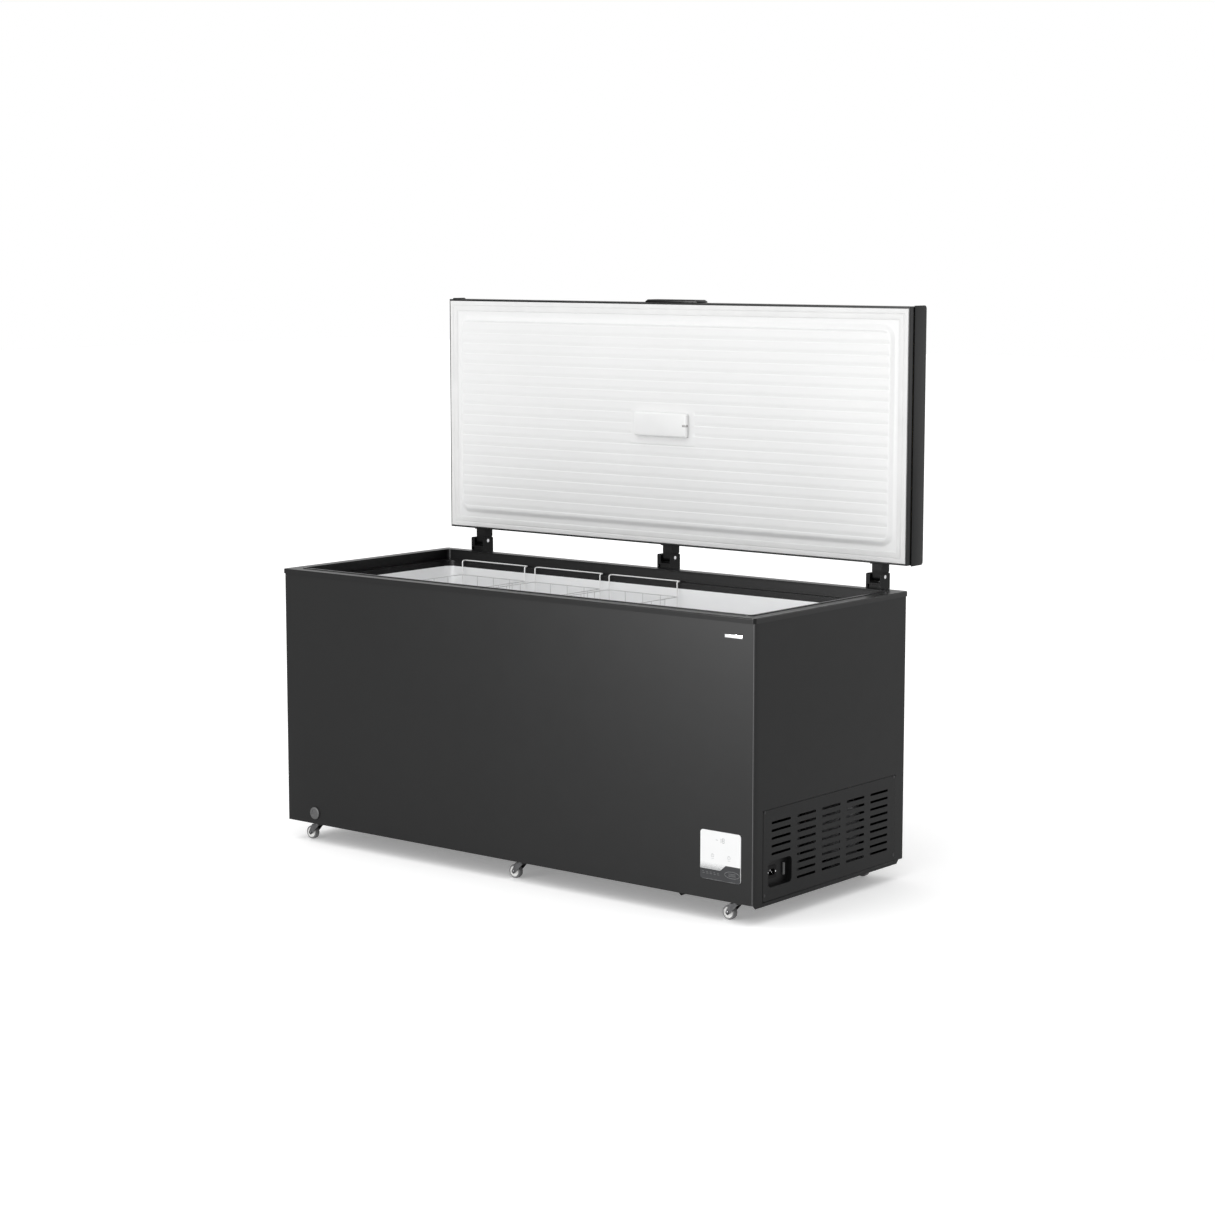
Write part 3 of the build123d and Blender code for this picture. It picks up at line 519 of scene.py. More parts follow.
def vent_grille():
    """The moulded side grille with its open slots and the sloped pocket round the mains inlet."""
    low, high = box("vent_grille")
    face_x = high.x
    back_x = face_x - GRILLE_THICK
    middle_y, middle_z = (low.y + high.y) / 2, (low.z + high.z) / 2
    plate = Shape()
    outline = rounded_rect(high.y - low.y, high.z - low.z, 5 * MM)
    plate.prism(
        outline,
        lambda a, b: Vector((back_x, middle_y + a, middle_z + b)),
        lambda a, b: Vector((face_x, middle_y + a, middle_z + b)),
        radius=0.9 * MM,
    )
    grille = plate.make("vent_grille_panel", "grille_plastic", "cabinet", ("vent_grille",))

    inlet_low, inlet_high = box("mains_inlet")
    floor_x = inlet_high.x - 2 * MM
    pocket_low, pocket_high = at(0, POCKET_Y[0], POCKET_Z[0]), at(0, POCKET_Y[1], POCKET_Z[1])
    shell = Shape()
    size_y, size_z = pocket_high.y - pocket_low.y, pocket_high.z - pocket_low.z
    mid_y, mid_z = (pocket_low.y + pocket_high.y) / 2, (pocket_low.z + pocket_high.z) / 2
    shell.prism(
        rounded_rect(size_y + 2 * POCKET_WALL, size_z + 2 * POCKET_WALL, POCKET_CORNER + 1 * MM),
        lambda a, b: Vector((floor_x - POCKET_WALL, mid_y + a, mid_z + b)),
        lambda a, b: Vector((face_x - 0.4 * MM, mid_y + a, mid_z + b)),
    )
    combine(grille, [shell.make("pocket_block", "grille_plastic", None)], "UNION")

    cutters = []
    slots = Shape()
    outline = rounded_rect(SLOT_LENGTH * MM, SLOT_HEIGHT * MM, 2.4 * MM, steps=4)
    for column in range(SLOT_COLUMNS):
        for row in range(slots_in(column)):
            spot = at(0, FIRST_SLOT_Y + column * SLOT_PITCH_Y, FIRST_SLOT_Z - row * SLOT_PITCH_Z)
            slots.prism(
                outline,
                lambda a, b, s=spot: Vector((back_x - 1 * MM, s.y + a, s.z + b)),
                lambda a, b, s=spot: Vector((face_x + 1 * MM, s.y + a, s.z + b)),
            )
    cutters.append(slots.make("slots", "grille_plastic", None))

    scoop = Shape()
    over_x = face_x + 2 * MM
    scoop.prism(
        rounded_rect(size_y, size_z, POCKET_CORNER),
        lambda a, b: Vector((floor_x, mid_y + a, mid_z + b)),
        lambda a, b: Vector((over_x, mid_y + a, mid_z + b)),
    )
    cutters.append(scoop.make("scoop", "grille_plastic", None))
    hole = Shape()
    hole.box(
        (floor_x - 8 * MM, inlet_low.y + 4.3 * MM, inlet_low.z + 3.6 * MM),
        (floor_x + 2 * MM, inlet_high.y - 4.3 * MM, inlet_high.z - 3.6 * MM),
    )
    cutters.append(hole.make("inlet_hole", "grille_plastic", None))
    combine(grille, cutters, "DIFFERENCE")
    break_edges(grille, 0.3 * MM, sharp=12)

    ramp = Shape()
    ramp_rise, ramp_run = face_x - floor_x - 1 * MM, 15.5 * MM
    ramp.prism(
        [(0, 0), (ramp_rise, 0), (0, ramp_run)],
        lambda a, b: Vector((floor_x + a, pocket_low.y + b, pocket_low.z + 1 * MM)),
        lambda a, b: Vector((floor_x + a, pocket_low.y + b, pocket_high.z - 1 * MM)),
        radius=0.5 * MM,
    )
    ramp.make("pocket_ramp", "grille_plastic", "cabinet")

    pins = Shape()
    inlet_y, inlet_z = (inlet_low.y + inlet_high.y) / 2, (inlet_low.z + inlet_high.z) / 2
    for dy, dz in PINS:
        pins.box(
            (inlet_high.x - 16 * MM, inlet_y + (dy - 1.15) * MM, inlet_z + (dz - 2.15) * MM),
            (inlet_high.x - 4.4 * MM, inlet_y + (dy + 1.15) * MM, inlet_z + (dz + 2.15) * MM),
            0.4 * MM,
            2,
        )
    for way in (-1, 1):
        pins.lathe(
            [(0, 0.8 * MM), (1.0 * MM, 1.2 * MM), (2.1 * MM, 0.8 * MM), (2.3 * MM, 0), (0, 0)],
            (inlet_high.x, inlet_y + way * 16 * MM, inlet_z),
            (1, 0, 0),
            steps=16,
            closed=False,
        )
    pins.make("inlet_pins", "badge_metal", "cabinet")

    # A rib inside the pocket, coloured lighter as a painted highlight along its lit wall.
    highlight_rib = Shape()
    highlight_rib_low, highlight_rib_high = at(0, -193.5, -672), at(0, -188.5, -640)
    highlight_rib.box((floor_x, highlight_rib_low.y, highlight_rib_low.z), (floor_x + 6 * MM, highlight_rib_high.y, highlight_rib_high.z), 1.5 * MM)
    highlight_rib.make("pocket_clip", "pocket_clip", "cabinet")

    for column in range(SLOT_COLUMNS):
        blades = Shape()
        spot = at(0, FIRST_SLOT_Y + column * SLOT_PITCH_Y, FIRST_SLOT_Z)
        half = (SLOT_LENGTH / 2 + 2) * MM
        for row in range(slots_in(column)):
            z = spot.z - row * SLOT_PITCH_Z * MM
            blades.prism(
                LOUVRE,
                lambda a, b, z=z: Vector((back_x + a * MM, spot.y - half, z + b * MM)),
                lambda a, b, z=z: Vector((back_x + a * MM, spot.y + half, z + b * MM)),
            )
        blades.make(f"grille_louvres_{column + 1}", "lid_trim_plastic", "cabinet")

    # Black strips along the tray's lower edges, drawn as a seal: they paint the shadow line under the side
    # skin's edge.
    shadow_seal = Shape()
    tray_low, tray_high = box("compressor_tray")
    shadow_seal.box(
        (tray_high.x - 1 * MM, low.y + 4 * MM, base_z - 1.6 * MM),
        (tray_high.x + 1.6 * MM, high.y, base_z + 0.2 * MM),
        0.4 * MM,
        2,
    )
    back = box("back_panel")[0].y
    shadow_seal.box(
        (tray_low.x, tray_high.y - 0.5 * MM, base_z), (tray_high.x, back, base_z + 1.2 * MM), 0.3 * MM, 2
    )
    shadow_seal.make("tray_edge_seal", "lid_trim_plastic", "cabinet")

    screws = Shape()
    screw_low, screw_high = box("grille_screws")
    head = SCREW_HEAD
    head_profile = [(0, 0.3 * MM), (1.2 * MM, 0.5 * MM), (1.5 * MM, 1.3 * MM), (2.6 * MM, 1.2 * MM)]
    head_profile += [(head, 0.2 * MM), (head, -0.3 * MM), (0, -0.3 * MM)]
    for y, z in (
        (screw_low.y + head, screw_high.z - head),
        (screw_high.y - head - 2 * MM, screw_high.z - head),
        (screw_low.y + head, screw_low.z + head),
        (screw_high.y - head, screw_low.z + head),
    ):
        screws.lathe(
            head_profile,
            (face_x, y, z),
            (1, 0, 0),
            steps=20,
            closed=False,
        )
    screws.make("grille_screw_heads", "black_zinc", "cabinet", ("grille_screws",))


vent_grille()


# ---- Lid ----------------------------------------------------------------------------------------
LINER_HALF = (790.0, 316.0)  # half size of the liner's edge, in millimetres like the next lines
PLATEAU_MARGIN = (19.0, 21.75)
PLATEAU_RISE, PLATEAU_CORNER, PLATEAU_BEVEL = 8.0, 36.0, 15.0
RIBS, RIB_PITCH, RIB_DEPTH, RIB_RUN = 19, 30.3, 1.3, 0.45
PAD = (114.0, 56.0)  # half size of the flat pad under the lamp
LINER_SHEET = 1.6 * MM
GASKET_WIDTH = (27.0 * MM, 29.5 * MM)  # along the ends and along the long sides
GASKET_REACH = 2.0 * MM  # how far the ends stand outside the CAD gasket
GASKET_PROFILE = (  # shares of the gasket's width and height, from its outer edge inwards
    (0.0, 0.0),
    (0.01, 0.55),
    (0.04, 0.85),
    (0.09, 1.0),
    (0.36, 1.0),
    (0.41, 0.85),
    (0.43, 0.45),
    (0.47, 0.45),
    (0.49, 0.75),
    (0.54, 0.9),
    (0.86, 0.9),
    (0.93, 0.75),
    (0.97, 0.5),
    (1.0, 0.0),
)


def lid_liner():
    """The vacuum-formed lid liner: a raised plateau with soft edges, stepped ribs and a flat lamp pad."""
    low, high = box("lid_liner")
    half_u, half_v = (high.x - low.x) / 2 / MM, (high.z - low.z) / 2 / MM
    centre = Vector((0, lid_face_y, (low.z + high.z) / 2))
    plateau_u, plateau_v = LINER_HALF[0] - PLATEAU_MARGIN[0], LINER_HALF[1] - PLATEAU_MARGIN[1]

    def height(u, v):
        """How far a point of the liner stands out, in millimetres."""
        qu, qv = abs(u) - plateau_u + PLATEAU_CORNER, abs(v) - plateau_v + PLATEAU_CORNER
        inside = PLATEAU_CORNER - math.hypot(max(qu, 0), max(qv, 0)) - min(max(qu, qv), 0)
        rise = PLATEAU_RISE * smooth(inside / PLATEAU_BEVEL) ** 0.8
        mask = smooth((inside - PLATEAU_BEVEL) / 3)
        pad = max(abs(u) - PAD[0], abs(v) - PAD[1])
        mask *= smooth((pad + 0.5) / 1.5)
        line = math.floor(v / RIB_PITCH) * RIB_PITCH
        if abs(line / RIB_PITCH) > RIBS // 2 + 0.1:
            return rise
        return rise - RIB_DEPTH * mask * (1 - smooth((v - line) / (RIB_PITCH * RIB_RUN)))

    def margin_steps(limit, plateau):
        """Grid lines from the liner's edge over the plateau's rounded shoulder."""
        steps = [limit, plateau + 4]
        steps += [plateau - k * 2.5 for k in range(0, 9)]
        steps += [plateau - 24 - k * 5 for k in range(0, 4)]
        return steps

    def both_ways(values, pad):
        """The values and the steps round the lamp pad, on both sides of the middle."""
        values = values + [pad + 1.5, pad + 0.2, pad - 0.8]
        return {way * value for value in values for way in (1, -1)}

    us = both_ways(margin_steps(half_u, plateau_u), PAD[0])
    us |= {k * 100.0 for k in range(-6, 7)}
    vs = both_ways(margin_steps(half_v, plateau_v), PAD[1])
    for k in range(-(RIBS // 2), RIBS // 2 + 1):
        base = k * RIB_PITCH
        vs |= {base - 0.35, base, *(base + RIB_PITCH * RIB_RUN * t for t in (0.15, 0.35, 0.6, 0.8, 1.0))}
    us, vs = sorted(us), sorted(vs)
    vs = [v for i, v in enumerate(vs) if i == 0 or v - vs[i - 1] > 0.2]
    shape = Shape()
    grid = []
    for v in vs:
        # A row that lies on a rib's line is at the recess's depth; the one just below it is at the rib's.
        grid.append([shape.bm.verts.new(centre + Vector((u, -height(u, v), v)) * MM) for u in us])
    for row, above in zip(grid, grid[1:]):
        for i in range(len(us) - 1):
            shape.bm.faces.new((row[i], row[i + 1], above[i + 1], above[i]))
    loop = grid[0] + [row[-1] for row in grid[1:-1]] + grid[-1][::-1] + [row[0] for row in grid[-2:0:-1]]
    behind = [shape.bm.verts.new(v.co + Vector((0, LINER_SHEET, 0))) for v in loop]
    for i in range(len(loop)):
        j = (i + 1) % len(loop)
        shape.bm.faces.new((loop[i], behind[i], behind[j], loop[j]))
    shape.bm.faces.new(behind)
    shape.make("lid_liner_sheet", "liner_plastic", "lid", ("lid_liner",), sharp=40)


def lid_gasket():
    """The magnetic gasket: a soft double bead with mitred corners."""
    low, high = box("lid_gasket")
    centre_z = (low.z + high.z) / 2
    thick = high.y - low.y
    corners = ((1, 1), (-1, 1), (-1, -1), (1, -1))
    shape = Shape()
    rings = []
    for across, rise in GASKET_PROFILE:
        u = high.x + GASKET_REACH - across * (GASKET_WIDTH[0] + GASKET_REACH)
        v = (high.z - low.z) / 2 - across * GASKET_WIDTH[1]
        y = high.y - rise * thick
        rings.append([shape.bm.verts.new((sx * u, y, centre_z + sv * v)) for sx, sv in corners])
    for inner, outer in zip(rings, rings[1:] + rings[:1]):
        for k in range(4):
            n = (k + 1) % 4
            shape.bm.faces.new((inner[k], inner[n], outer[n], outer[k]))
    shape.make("lid_gasket_bead", "gasket_white", "lid", ("lid_gasket",), sharp=50)


def lid_core():
    """The lid's foam, drawn as the plain block that fills the outer shell behind the liner."""
    low, high = box("lid_foam")
    inset = 6 * MM
    block = Shape()
    block.box(
        (low.x + inset, lid_face_y + 4 * MM, low.z + inset),
        (high.x - inset, high.y - 1 * MM, high.z - inset),
        5 * MM,
    )
    block.make("lid_foam_block", "foam", "lid", ("lid_foam",))


def lid_fittings():
    """The lamp cover, the handle and the end caps, with rounded edges."""
    low, high = box("lamp_cover")
    cover = Shape()
    cover.box(low, high, 6 * MM, 5)
    cover.make("lamp_diffuser", "lamp_diffuser", "lid", ("lamp_cover",))
    frame_ring = Shape()
    ring_path = [
        Vector((x, high.y - 0.6 * MM, z))
        for x, z in ((low.x, low.z), (high.x, low.z), (high.x, high.z), (low.x, high.z))
    ]
    frame_ring.tube(rounded_path(ring_path, 7 * MM, closed=True), 1.1 * MM, closed=True)
    frame_ring.make("lamp_bezel", "liner_plastic", "lid")
    # A grey patch at the cover's right end paints the shade of the screwdriver notch; no hollow is cut.
    notch = Shape()
    middle_z = (low.z + high.z) / 2
    notch.box(
        (high.x - 15 * MM, low.y - 0.4 * MM, middle_z - 3.2 * MM),
        (high.x + 0.4 * MM, low.y + 7 * MM, middle_z + 3.2 * MM),
        0.8 * MM,
    )
    notch.make("lamp_sensor_window", "lamp_notch", "lid")

    low, high = box("lid_handle")
    handle = Shape()
    rise = high.z - low.z
    half = high.x
    shoulder, slope = 0.35 * rise, 9 * MM
    section = [(-half, 0), (half, 0), (half, shoulder)]
    section += [(half - slope, rise), (slope - half, rise), (-half, shoulder)]
    handle.prism(
        section,
        lambda a, b: Vector((a, low.y, low.z + b)),
        lambda a, b: Vector((a, high.y, low.z + b)),
    )
    handle.round_edges(handle.bm.edges, 1.6 * MM)
    handle.make("handle_bar", "frame_plastic", "lid", ("lid_handle",))
    grip = Shape()
    grip.box(
        (-half + 22 * MM, low.y + 12 * MM, high.z - 1 * MM),
        (half - 22 * MM, low.y + 15 * MM, high.z + 0.35 * MM),
        0.5 * MM,
    )
    grip.make("handle_grip_rib", "frame_plastic", "lid")

    for side in ("left", "right"):
        low, high = box(f"lid_end_cap_{side}")
        cap = Shape()
        cap.box(low, high)
        rear = []
        for edge in cap.bm.edges:
            first, second = (vert.co for vert in edge.verts)
            if min(first.y, second.y) > high.y - TINY and abs(first.z - second.z) < TINY:
                rear.append(edge)
        cap.round_edges(rear, 9 * MM, 6)
        cap.round_edges([e for e in cap.bm.edges if e.calc_face_angle(0) > 0.6], 0.7 * MM, 2)
        cap.make(f"end_cap_{side}", "grille_plastic", "lid", (f"lid_end_cap_{side}",))


lid_liner()
lid_gasket()
lid_core()
lid_fittings()


# ---- Hinges -------------------------------------------------------------------------------------
BOLTS = ((-88, 9), (-112, 25))  # height from the rim and distance in from the bracket's back, in mm
BRACKET_SLOPE = (0, 0.9, -0.43)  # which way the bracket's lower back faces


def hinge_details():
    """Two bolts on the back of each hinge bracket and the head of its pin."""
    for side in SIDES:
        low, high = box(f"hinge_bracket_{side}")
        bolts = Shape()
        for z, inwards in BOLTS:
            spot = at(0, 0, z)
            y = high.y - inwards * MM
            bolts.lathe(
                [(0, 2.6 * MM), (3.2 * MM, 2.6 * MM), (4.6 * MM, 1.4 * MM), (4.8 * MM, 0), (0, 0)],
                ((low.x + high.x) / 2, y, spot.z),
                BRACKET_SLOPE,
                steps=18,
                closed=False,
            )
        bolts.make(f"hinge_bolts_{side}", "black_zinc", "cabinet")
        head = Shape()
        pin_low, pin_high = box("hinge_pins")
        pin_z, pin_y = (pin_low.z + pin_high.z) / 2, (pin_low.y + pin_high.y) / 2
        head.lathe(
            [(0, 1.6 * MM), (4.5 * MM, 1.5 * MM), (6.8 * MM, 0.7 * MM), (7.2 * MM, 0), (0, 0)],
            (low.x, pin_y, pin_z),
            (-1, 0, 0),
            steps=24,
            closed=False,
        )
        head.make(f"hinge_pin_head_{side}", "black_plastic", "cabinet")


hinge_details()


# ---- Baskets ------------------------------------------------------------------------------------
FRAME_WIRE, RING_WIRE, MESH_WIRE = 1.7 * MM, 1.4 * MM, 0.9 * MM  # wire radii
HOOK_REACH = 14.5 * MM  # how far the hanging wires stand out over the ledge
BASKET_TOP = rim_z - 67 * MM


def basket(side):
    """A welded wire basket: frame wires, hanging wires and a mesh of thinner ones."""
    body = f"basket_{side}"
    low, high = box(body)
    x0, x1 = low.x + FRAME_WIRE, high.x - FRAME_WIRE
    y0, y1 = low.y + FRAME_WIRE + HOOK_REACH, high.y - FRAME_WIRE - HOOK_REACH
    top, bottom = BASKET_TOP, low.z + FRAME_WIRE
    hook_z = high.z - FRAME_WIRE
    hangers = Shape()
    for y, hook_y in ((y0, low.y + FRAME_WIRE), (y1, high.y - FRAME_WIRE)):
        leg = 4 * MM
        run = [
            Vector((x0 + leg, y, top - 30 * MM)),
            Vector((x0 + leg, y, hook_z)),
            Vector((x0 + leg, hook_y, hook_z)),
            Vector((x1 - leg, hook_y, hook_z)),
            Vector((x1 - leg, y, hook_z)),
            Vector((x1 - leg, y, top - 30 * MM)),
        ]
        hangers.tube(rounded_path(run, 6 * MM), FRAME_WIRE)
    hangers.make(f"basket_hangers_{side}", "basket_wire", body, (body,))

    wires = Shape()
    for z, wire in ((top, RING_WIRE), ((top + bottom) / 2, MESH_WIRE), (bottom, RING_WIRE)):
        loop = [Vector((x0, y0, z)), Vector((x1, y0, z)), Vector((x1, y1, z)), Vector((x0, y1, z))]
        wires.tube(rounded_path(loop, 14 * MM, closed=True), wire, closed=True)
    along, across = 9, 4  # mesh openings each way
    runs = []
    for k in range(1, along):
        y = y0 + (y1 - y0) * k / along
        runs.append([(x0, y, top), (x0, y, bottom), (x1, y, bottom), (x1, y, top)])
    for k in range(1, across):
        x = x0 + (x1 - x0) * k / across
        runs.append([(x, y0, top), (x, y0, bottom), (x, y1, bottom), (x, y1, top)])
    for run in runs:
        wires.tube(rounded_path([Vector(p) for p in run], 10 * MM, steps=3), MESH_WIRE, steps=6)
    wires.make(f"basket_mesh_{side}", "basket_mesh", body)


for side in SIDES:
    basket(side)


# ---- Castors ------------------------------------------------------------------------------------
TRAIL = 21 * MM  # the swivel's axis stands this far from the wheel's


def mirrored(profile, middle=()):
    """A lathe profile given for one face of a wheel, carried on to the other face."""
    return [*profile, *middle, *((radius, -height) for radius, height in reversed(profile))]


def castor(number):
    """A castor wheel's tyre and hub, and the heads of its axle."""
    wheel = f"castor_wheel_{number}"
    low, high = box(wheel)
    centre = (low + high) / 2
    outer, half = (high.z - low.z) / 2, (high.y - low.y) / 2
    rim = 14.0 * MM
    tyre = Shape()
    tyre.lathe(
        mirrored(
            [
                (rim, -half + 0.6 * MM),
                (outer - 3 * MM, -half + 0.1 * MM),
                (outer - 1 * MM, -half + 1.2 * MM),
                (outer - 0.2 * MM, -half + 3.4 * MM),
            ],
            [(outer, 0)],
        ),
        centre,
        (0, 1, 0),
        steps=48,
    )
    tyre.make(f"castor_tyre_{number}", "castor_tyre", wheel, (wheel,))
    hub = Shape()
    bore, boss, web = 3.05 * MM, 5.6 * MM, 12.2 * MM
    edge = half - 0.9 * MM
    hub.lathe(
        mirrored(
            [
                (bore, -half),
                (boss, -half),
                (boss + 0.6 * MM, -edge + 1.6 * MM),
                (web, -edge + 1.2 * MM),
                (web + 0.6 * MM, -edge),
                (rim, -edge),
            ]
        ),
        centre,
        (0, 1, 0),
        steps=40,
    )
    hub.make(f"castor_hub_{number}", "castor_hub", wheel)
    fork_low, fork_high = box(f"castor_fork_{number}")
    heads = Shape()
    for y, way in ((fork_low.y, -1), (fork_high.y, 1)):
        heads.lathe(
            [(0, 1.3 * MM), (2.6 * MM, 1.2 * MM), (4.3 * MM, 0.5 * MM), (4.5 * MM, -1 * MM), (0, -1 * MM)],
            (centre.x, y, centre.z),
            (0, way, 0),
            steps=20,
            closed=False,
        )
    heads.make(f"castor_axle_heads_{number}", "black_zinc", f"castor_swivel_{number}")


for number in CASTORS:
    castor(number)


def castor_screws():
    """Four pan-head screws under each castor plate."""
    screws = Shape()
    plate_z = base_z - 2 * MM
    from_plate = 15.5  # millimetres from the plate's centre, both ways
    for number in CASTORS:
        low, high = box(f"castor_wheel_{number}")
        middle = (low + high) / 2 + Vector((TRAIL, 0, 0))
        for dx in (-from_plate, from_plate):
            for dy in (-from_plate, from_plate):
                screws.lathe(
                    [(0, 0.9 * MM), (1.6 * MM, 1.5 * MM), (3.2 * MM, 0.9 * MM), (3.4 * MM, 0), (0, 0)],
                    (middle.x + dx * MM, middle.y + dy * MM, plate_z),
                    (0, 0, -1),
                    steps=14,
                    closed=False,
                )
    screws.make("castor_plate_screws", "zinc_steel", "cabinet")


castor_screws()


# ---- Control panel, badge and drain cap ---------------------------------------------------------
PRINT_THICK, PRINT_ROOT = 0.08 * MM, 0.2 * MM  # how far print stands on the fascia and sits in it
DOT_PITCH, DOT_ROWS = 2.3 * MM, 7
STRIP_SLANT_LOW, STRIP_SLANT_HIGH = 63 * MM, 80 * MM  # the strip's slanted edge, from the left
SLANT = 1.17  # how far that edge leans over for its height
DIGIT_TALL, DIGIT_WIDE, DIGIT_STROKE = 11 * MM, 6 * MM, 1.1 * MM
DIGIT_BARS = {"1": "bc", "8": "abcdefg", "-": "g"}


def control_panel():
    """What lies on the white fascia: a grey lower strip, fading dots, digits, two keys and marks."""
    low, high = box("control_fascia")
    face = low.y
    left, right, bottom = low.x, high.x, low.z
    width = right - left

    def arc(x, z, wide, tall, start, end, step):
        """Points on an oval round a place on the fascia, from one angle to another in degrees."""
        angles = [math.radians(t) for t in range(start, end, step)]
        return [(x + wide * math.cos(t), z + tall * math.sin(t)) for t in angles]

    inset = 0.5 * MM
    strip_low, strip_high = bottom + 26.6 * MM, bottom + 41.1 * MM
    corner = 6 * MM
    corner_z = bottom + inset + corner
    outline = arc(right - inset - corner, corner_z, corner, corner, -90, 1, 15)
    outline += [
        (right - inset, strip_high),
        (left + STRIP_SLANT_HIGH, strip_high),
        (left + STRIP_SLANT_LOW, strip_low),
        (left + inset, strip_low),
    ]
    outline += arc(left + inset + corner, corner_z, corner, corner, 180, 271, 15)
    strip = Shape()
    strip.prism(
        outline,
        lambda a, b: Vector((a, face + 0.3 * MM, b)),
        lambda a, b: Vector((a, face - 0.12 * MM, b)),
    )
    strip.make("fascia_strip", "panel_grey", "cabinet")

    dots = Shape()
    for row in range(DOT_ROWS):
        z = strip_low + (row + 0.8) * DOT_PITCH
        size = (1.15 - 0.14 * row) * MM
        for column in range(int(width / DOT_PITCH)):
            x = left + (column + 0.5 + 0.5 * (row % 2)) * DOT_PITCH
            edge = left + STRIP_SLANT_LOW + (z - strip_low) * SLANT
            if x > edge - 1.5 * MM or x > right - 2 * MM:
                continue
            dots.prism(
                arc(x, z, size, size, 0, 360, 60),
                lambda a, b: Vector((a, face + PRINT_ROOT, b)),
                lambda a, b: Vector((a, face - PRINT_THICK, b)),
            )
    dots.make("fascia_dots", "panel_print", "cabinet")

    digits = Shape()
    level_bar, upright_bar = (DIGIT_WIDE, DIGIT_STROKE), (DIGIT_STROKE, DIGIT_TALL / 2.4)
    places = {  # each bar's centre, as shares of half a digit's width and height, and its size
        "a": (0, 1, *level_bar),
        "b": (1, 0.5, *upright_bar),
        "c": (1, -0.5, *upright_bar),
        "d": (0, -1, *level_bar),
        "e": (-1, -0.5, *upright_bar),
        "f": (-1, 0.5, *upright_bar),
        "g": (0, 0, *level_bar),
    }
    digit_z = high.z - 22 * MM
    for index, character in enumerate("-18"):
        cx = (left + right) / 2 - 11 * MM + index * 10 * MM
        for bar in DIGIT_BARS[character]:
            across, up, wide, tall = places[bar]
            x, z = cx + across * DIGIT_WIDE / 2, digit_z + up * DIGIT_TALL / 2
            digits.box(
                (x - wide / 2, face - PRINT_THICK, z - tall / 2),
                (x + wide / 2, face + PRINT_ROOT, z + tall / 2),
            )
    digits.make("fascia_digits", "panel_print", "cabinet")

    def line(shape, path, radius, closed=False):
        """A thin printed line along a path on the fascia."""
        shape.tube([Vector((a, face - 0.02 * MM, b)) for a, b in path], radius, steps=6, closed=closed)

    icons = Shape()
    key_z = bottom + 62.5 * MM
    for key_x in (left + 39 * MM, right - 36 * MM):
        circle = arc(key_x, key_z, 4.2 * MM, 4.2 * MM, 0, 360, 20)
        line(icons, circle, 0.3 * MM, closed=True)
        line(icons, [(key_x, key_z), (key_x, key_z + 3 * MM)], 0.35 * MM)
        line(icons, [(key_x - 4 * MM, key_z - 8 * MM), (key_x + 4 * MM, key_z - 8 * MM)], 0.3 * MM)
    icons.make("fascia_keys", "panel_line", "cabinet")

    marks = Shape()
    oval_x, oval_z = right - 26 * MM, bottom + 19.5 * MM
    oval = arc(oval_x, oval_z, 23 * MM, 8.5 * MM, 0, 360, 12)
    line(marks, oval, 0.45 * MM, closed=True)
    for z, length in ((bottom + 18.5 * MM, 4.5 * MM), (bottom + 14.5 * MM, 6.5 * MM)):
        for k in range(5):
            x = left + (8 + 11.5 * k) * MM
            line(marks, [(x, z), (x + length, z)], 0.4 * MM)
    for k in range(3):
        z = oval_z + (3 - 3 * k) * MM
        line(marks, [(oval_x - 11 * MM, z), (oval_x + 11 * MM, z)], 0.35 * MM)
    marks.make("fascia_strip_marks", "panel_line", "cabinet")


control_panel()


def small_front_pieces():
    """The plain badge bar and the drain cap with its coin slot."""
    low, high = box("badge")
    bar = Shape()
    bar.box(low, high, 0.35 * MM, 2)
    bar.make("badge_bar", "badge_metal", "cabinet", ("badge",))

    low, high = box("drain_cap")
    centre = (low + high) / 2
    radius = (high.x - low.x) / 2
    face, stem_end = low.y, high.y
    cap = Shape()
    thick = 3.5 * MM
    stem, stem_length = 7.2 * MM, stem_end - face
    cap.lathe(
        [
            (0, 0.9 * MM),
            (10.5 * MM, 0.9 * MM),
            (11.2 * MM, 0.1 * MM),
            (radius - 1.6 * MM, 0.0),
            (radius - 0.4 * MM, 0.5 * MM),
            (radius, 1.5 * MM),
            (radius, thick),
            (stem, thick),
            (stem, stem_length - 1 * MM),
            (stem - 0.6 * MM, stem_length),
            (0, stem_length),
        ],
        (centre.x, face, centre.z),
        (0, 1, 0),
        steps=48,
        closed=False,
    )
    cap.box(
        (centre.x - 9 * MM, face + 0.1 * MM, centre.z - 1.6 * MM),
        (centre.x + 9 * MM, face + 1.4 * MM, centre.z + 1.6 * MM),
        0.5 * MM,
        2,
    )
    cap.make("drain_cap_moulding", "grey_plastic", "drain_cap", ("drain_cap",))


small_front_pieces()


# ---- Stage, light and camera --------------------------------------------------------------------
FLOOR_HALF = 30.0
FLOOR_GLOW, SKY_LIGHT, BACKDROP = 0.25, 0.80, 1.0
WHITE = (1, 1, 1, 1)
SHEENS = (  # name, place, target, size and watts of the lamps that only show as a sheen
    ("front sheen", (-0.7, -4.6, 1.8), (0.5, 0, 0.7), (1.6, 1.8), 820),
    ("side sheen", (2.9, 2.6, 1.6), (0.82, 0, 0.6), (1.4, 1.6), 22),
)
CAMERA_LENS = 79.61  # millimetres, on a 36 mm sensor
CAMERA_EYE = at(4653.06, -5642.06, 909.78)
CAMERA_AIM = Vector((-0.62410, 0.76982, -0.13387))


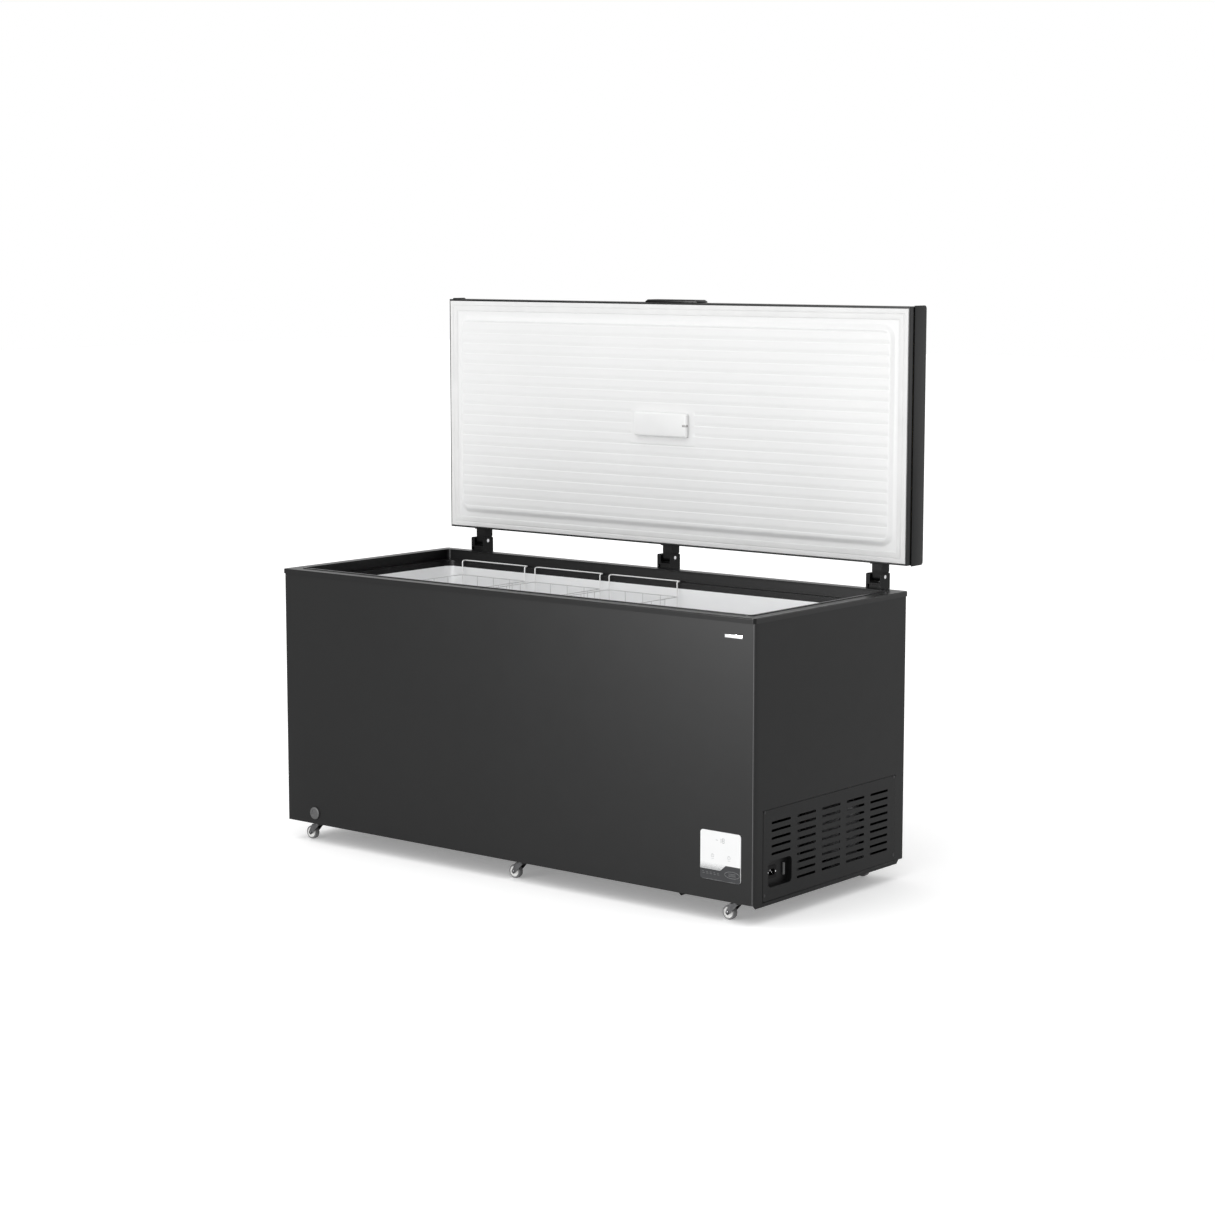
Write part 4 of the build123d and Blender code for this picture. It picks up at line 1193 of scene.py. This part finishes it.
def stage():
    """A white paper floor, an even white sky, a soft sun, two sheen lamps and the photo's camera."""
    scene = bpy.context.scene
    scene.view_settings.view_transform = "Standard"
    scene.view_settings.look = "None"
    floor = bpy.data.objects.new("floor", bpy.data.meshes.new("floor"))
    corners = [(x * FLOOR_HALF, y * FLOOR_HALF, 0) for x, y in ((-1, -1), (1, -1), (1, 1), (-1, 1))]
    floor.data.from_pydata(corners, [], [(0, 1, 2, 3)])
    scene.collection.objects.link(floor)
    paper = material("floor_paper", (0.90, 0.90, 0.90), 0.9, vary=0.004, bump=0.02)
    glow = paper.node_tree.nodes["Principled BSDF"].inputs
    glow["Emission Color"].default_value = WHITE
    glow["Emission Strength"].default_value = FLOOR_GLOW
    floor.data.materials.append(paper)

    world = bpy.data.worlds.new("studio")
    world.use_nodes = True
    tree = world.node_tree
    sky = tree.nodes["Background"]
    sky.inputs["Color"].default_value = WHITE
    sky.inputs["Strength"].default_value = SKY_LIGHT
    backdrop = tree.nodes.new("ShaderNodeBackground")
    backdrop.inputs["Color"].default_value = WHITE
    backdrop.inputs["Strength"].default_value = BACKDROP
    rays = tree.nodes.new("ShaderNodeLightPath")
    mix = tree.nodes.new("ShaderNodeMixShader")
    tree.links.new(rays.outputs["Is Camera Ray"], mix.inputs["Fac"])
    tree.links.new(sky.outputs["Background"], mix.inputs[1])
    tree.links.new(backdrop.outputs["Background"], mix.inputs[2])
    tree.links.new(mix.outputs["Shader"], tree.nodes["World Output"].inputs["Surface"])
    scene.world = world

    def lamp(name, kind, place, target, energy):
        """A light at one place, turned towards another."""
        light = bpy.data.lights.new(name, kind)
        light.energy = energy
        holder = bpy.data.objects.new(name, light)
        holder.location = place
        holder.rotation_euler = (Vector(target) - Vector(place)).to_track_quat("-Z", "Y").to_euler()
        scene.collection.objects.link(holder)
        return light

    lamp("overhead", "SUN", (-0.4, -2.4, 6.0), (0, 0, 0), 1.1).angle = math.radians(70)
    for name, place, target, size, energy in SHEENS:
        sheen = lamp(name, "AREA", place, target, energy)
        sheen.shape = "RECTANGLE"
        sheen.size, sheen.size_y = size
        bpy.data.objects[name].visible_diffuse = False

    camera = bpy.data.objects.new("camera", bpy.data.cameras.new("camera"))
    camera.data.sensor_width = 36.0
    camera.data.lens = CAMERA_LENS
    camera.location = CAMERA_EYE
    camera.rotation_euler = CAMERA_AIM.to_track_quat("-Z", "Y").to_euler()
    camera.data.clip_end = 100
    scene.collection.objects.link(camera)
    scene.camera = camera


stage()
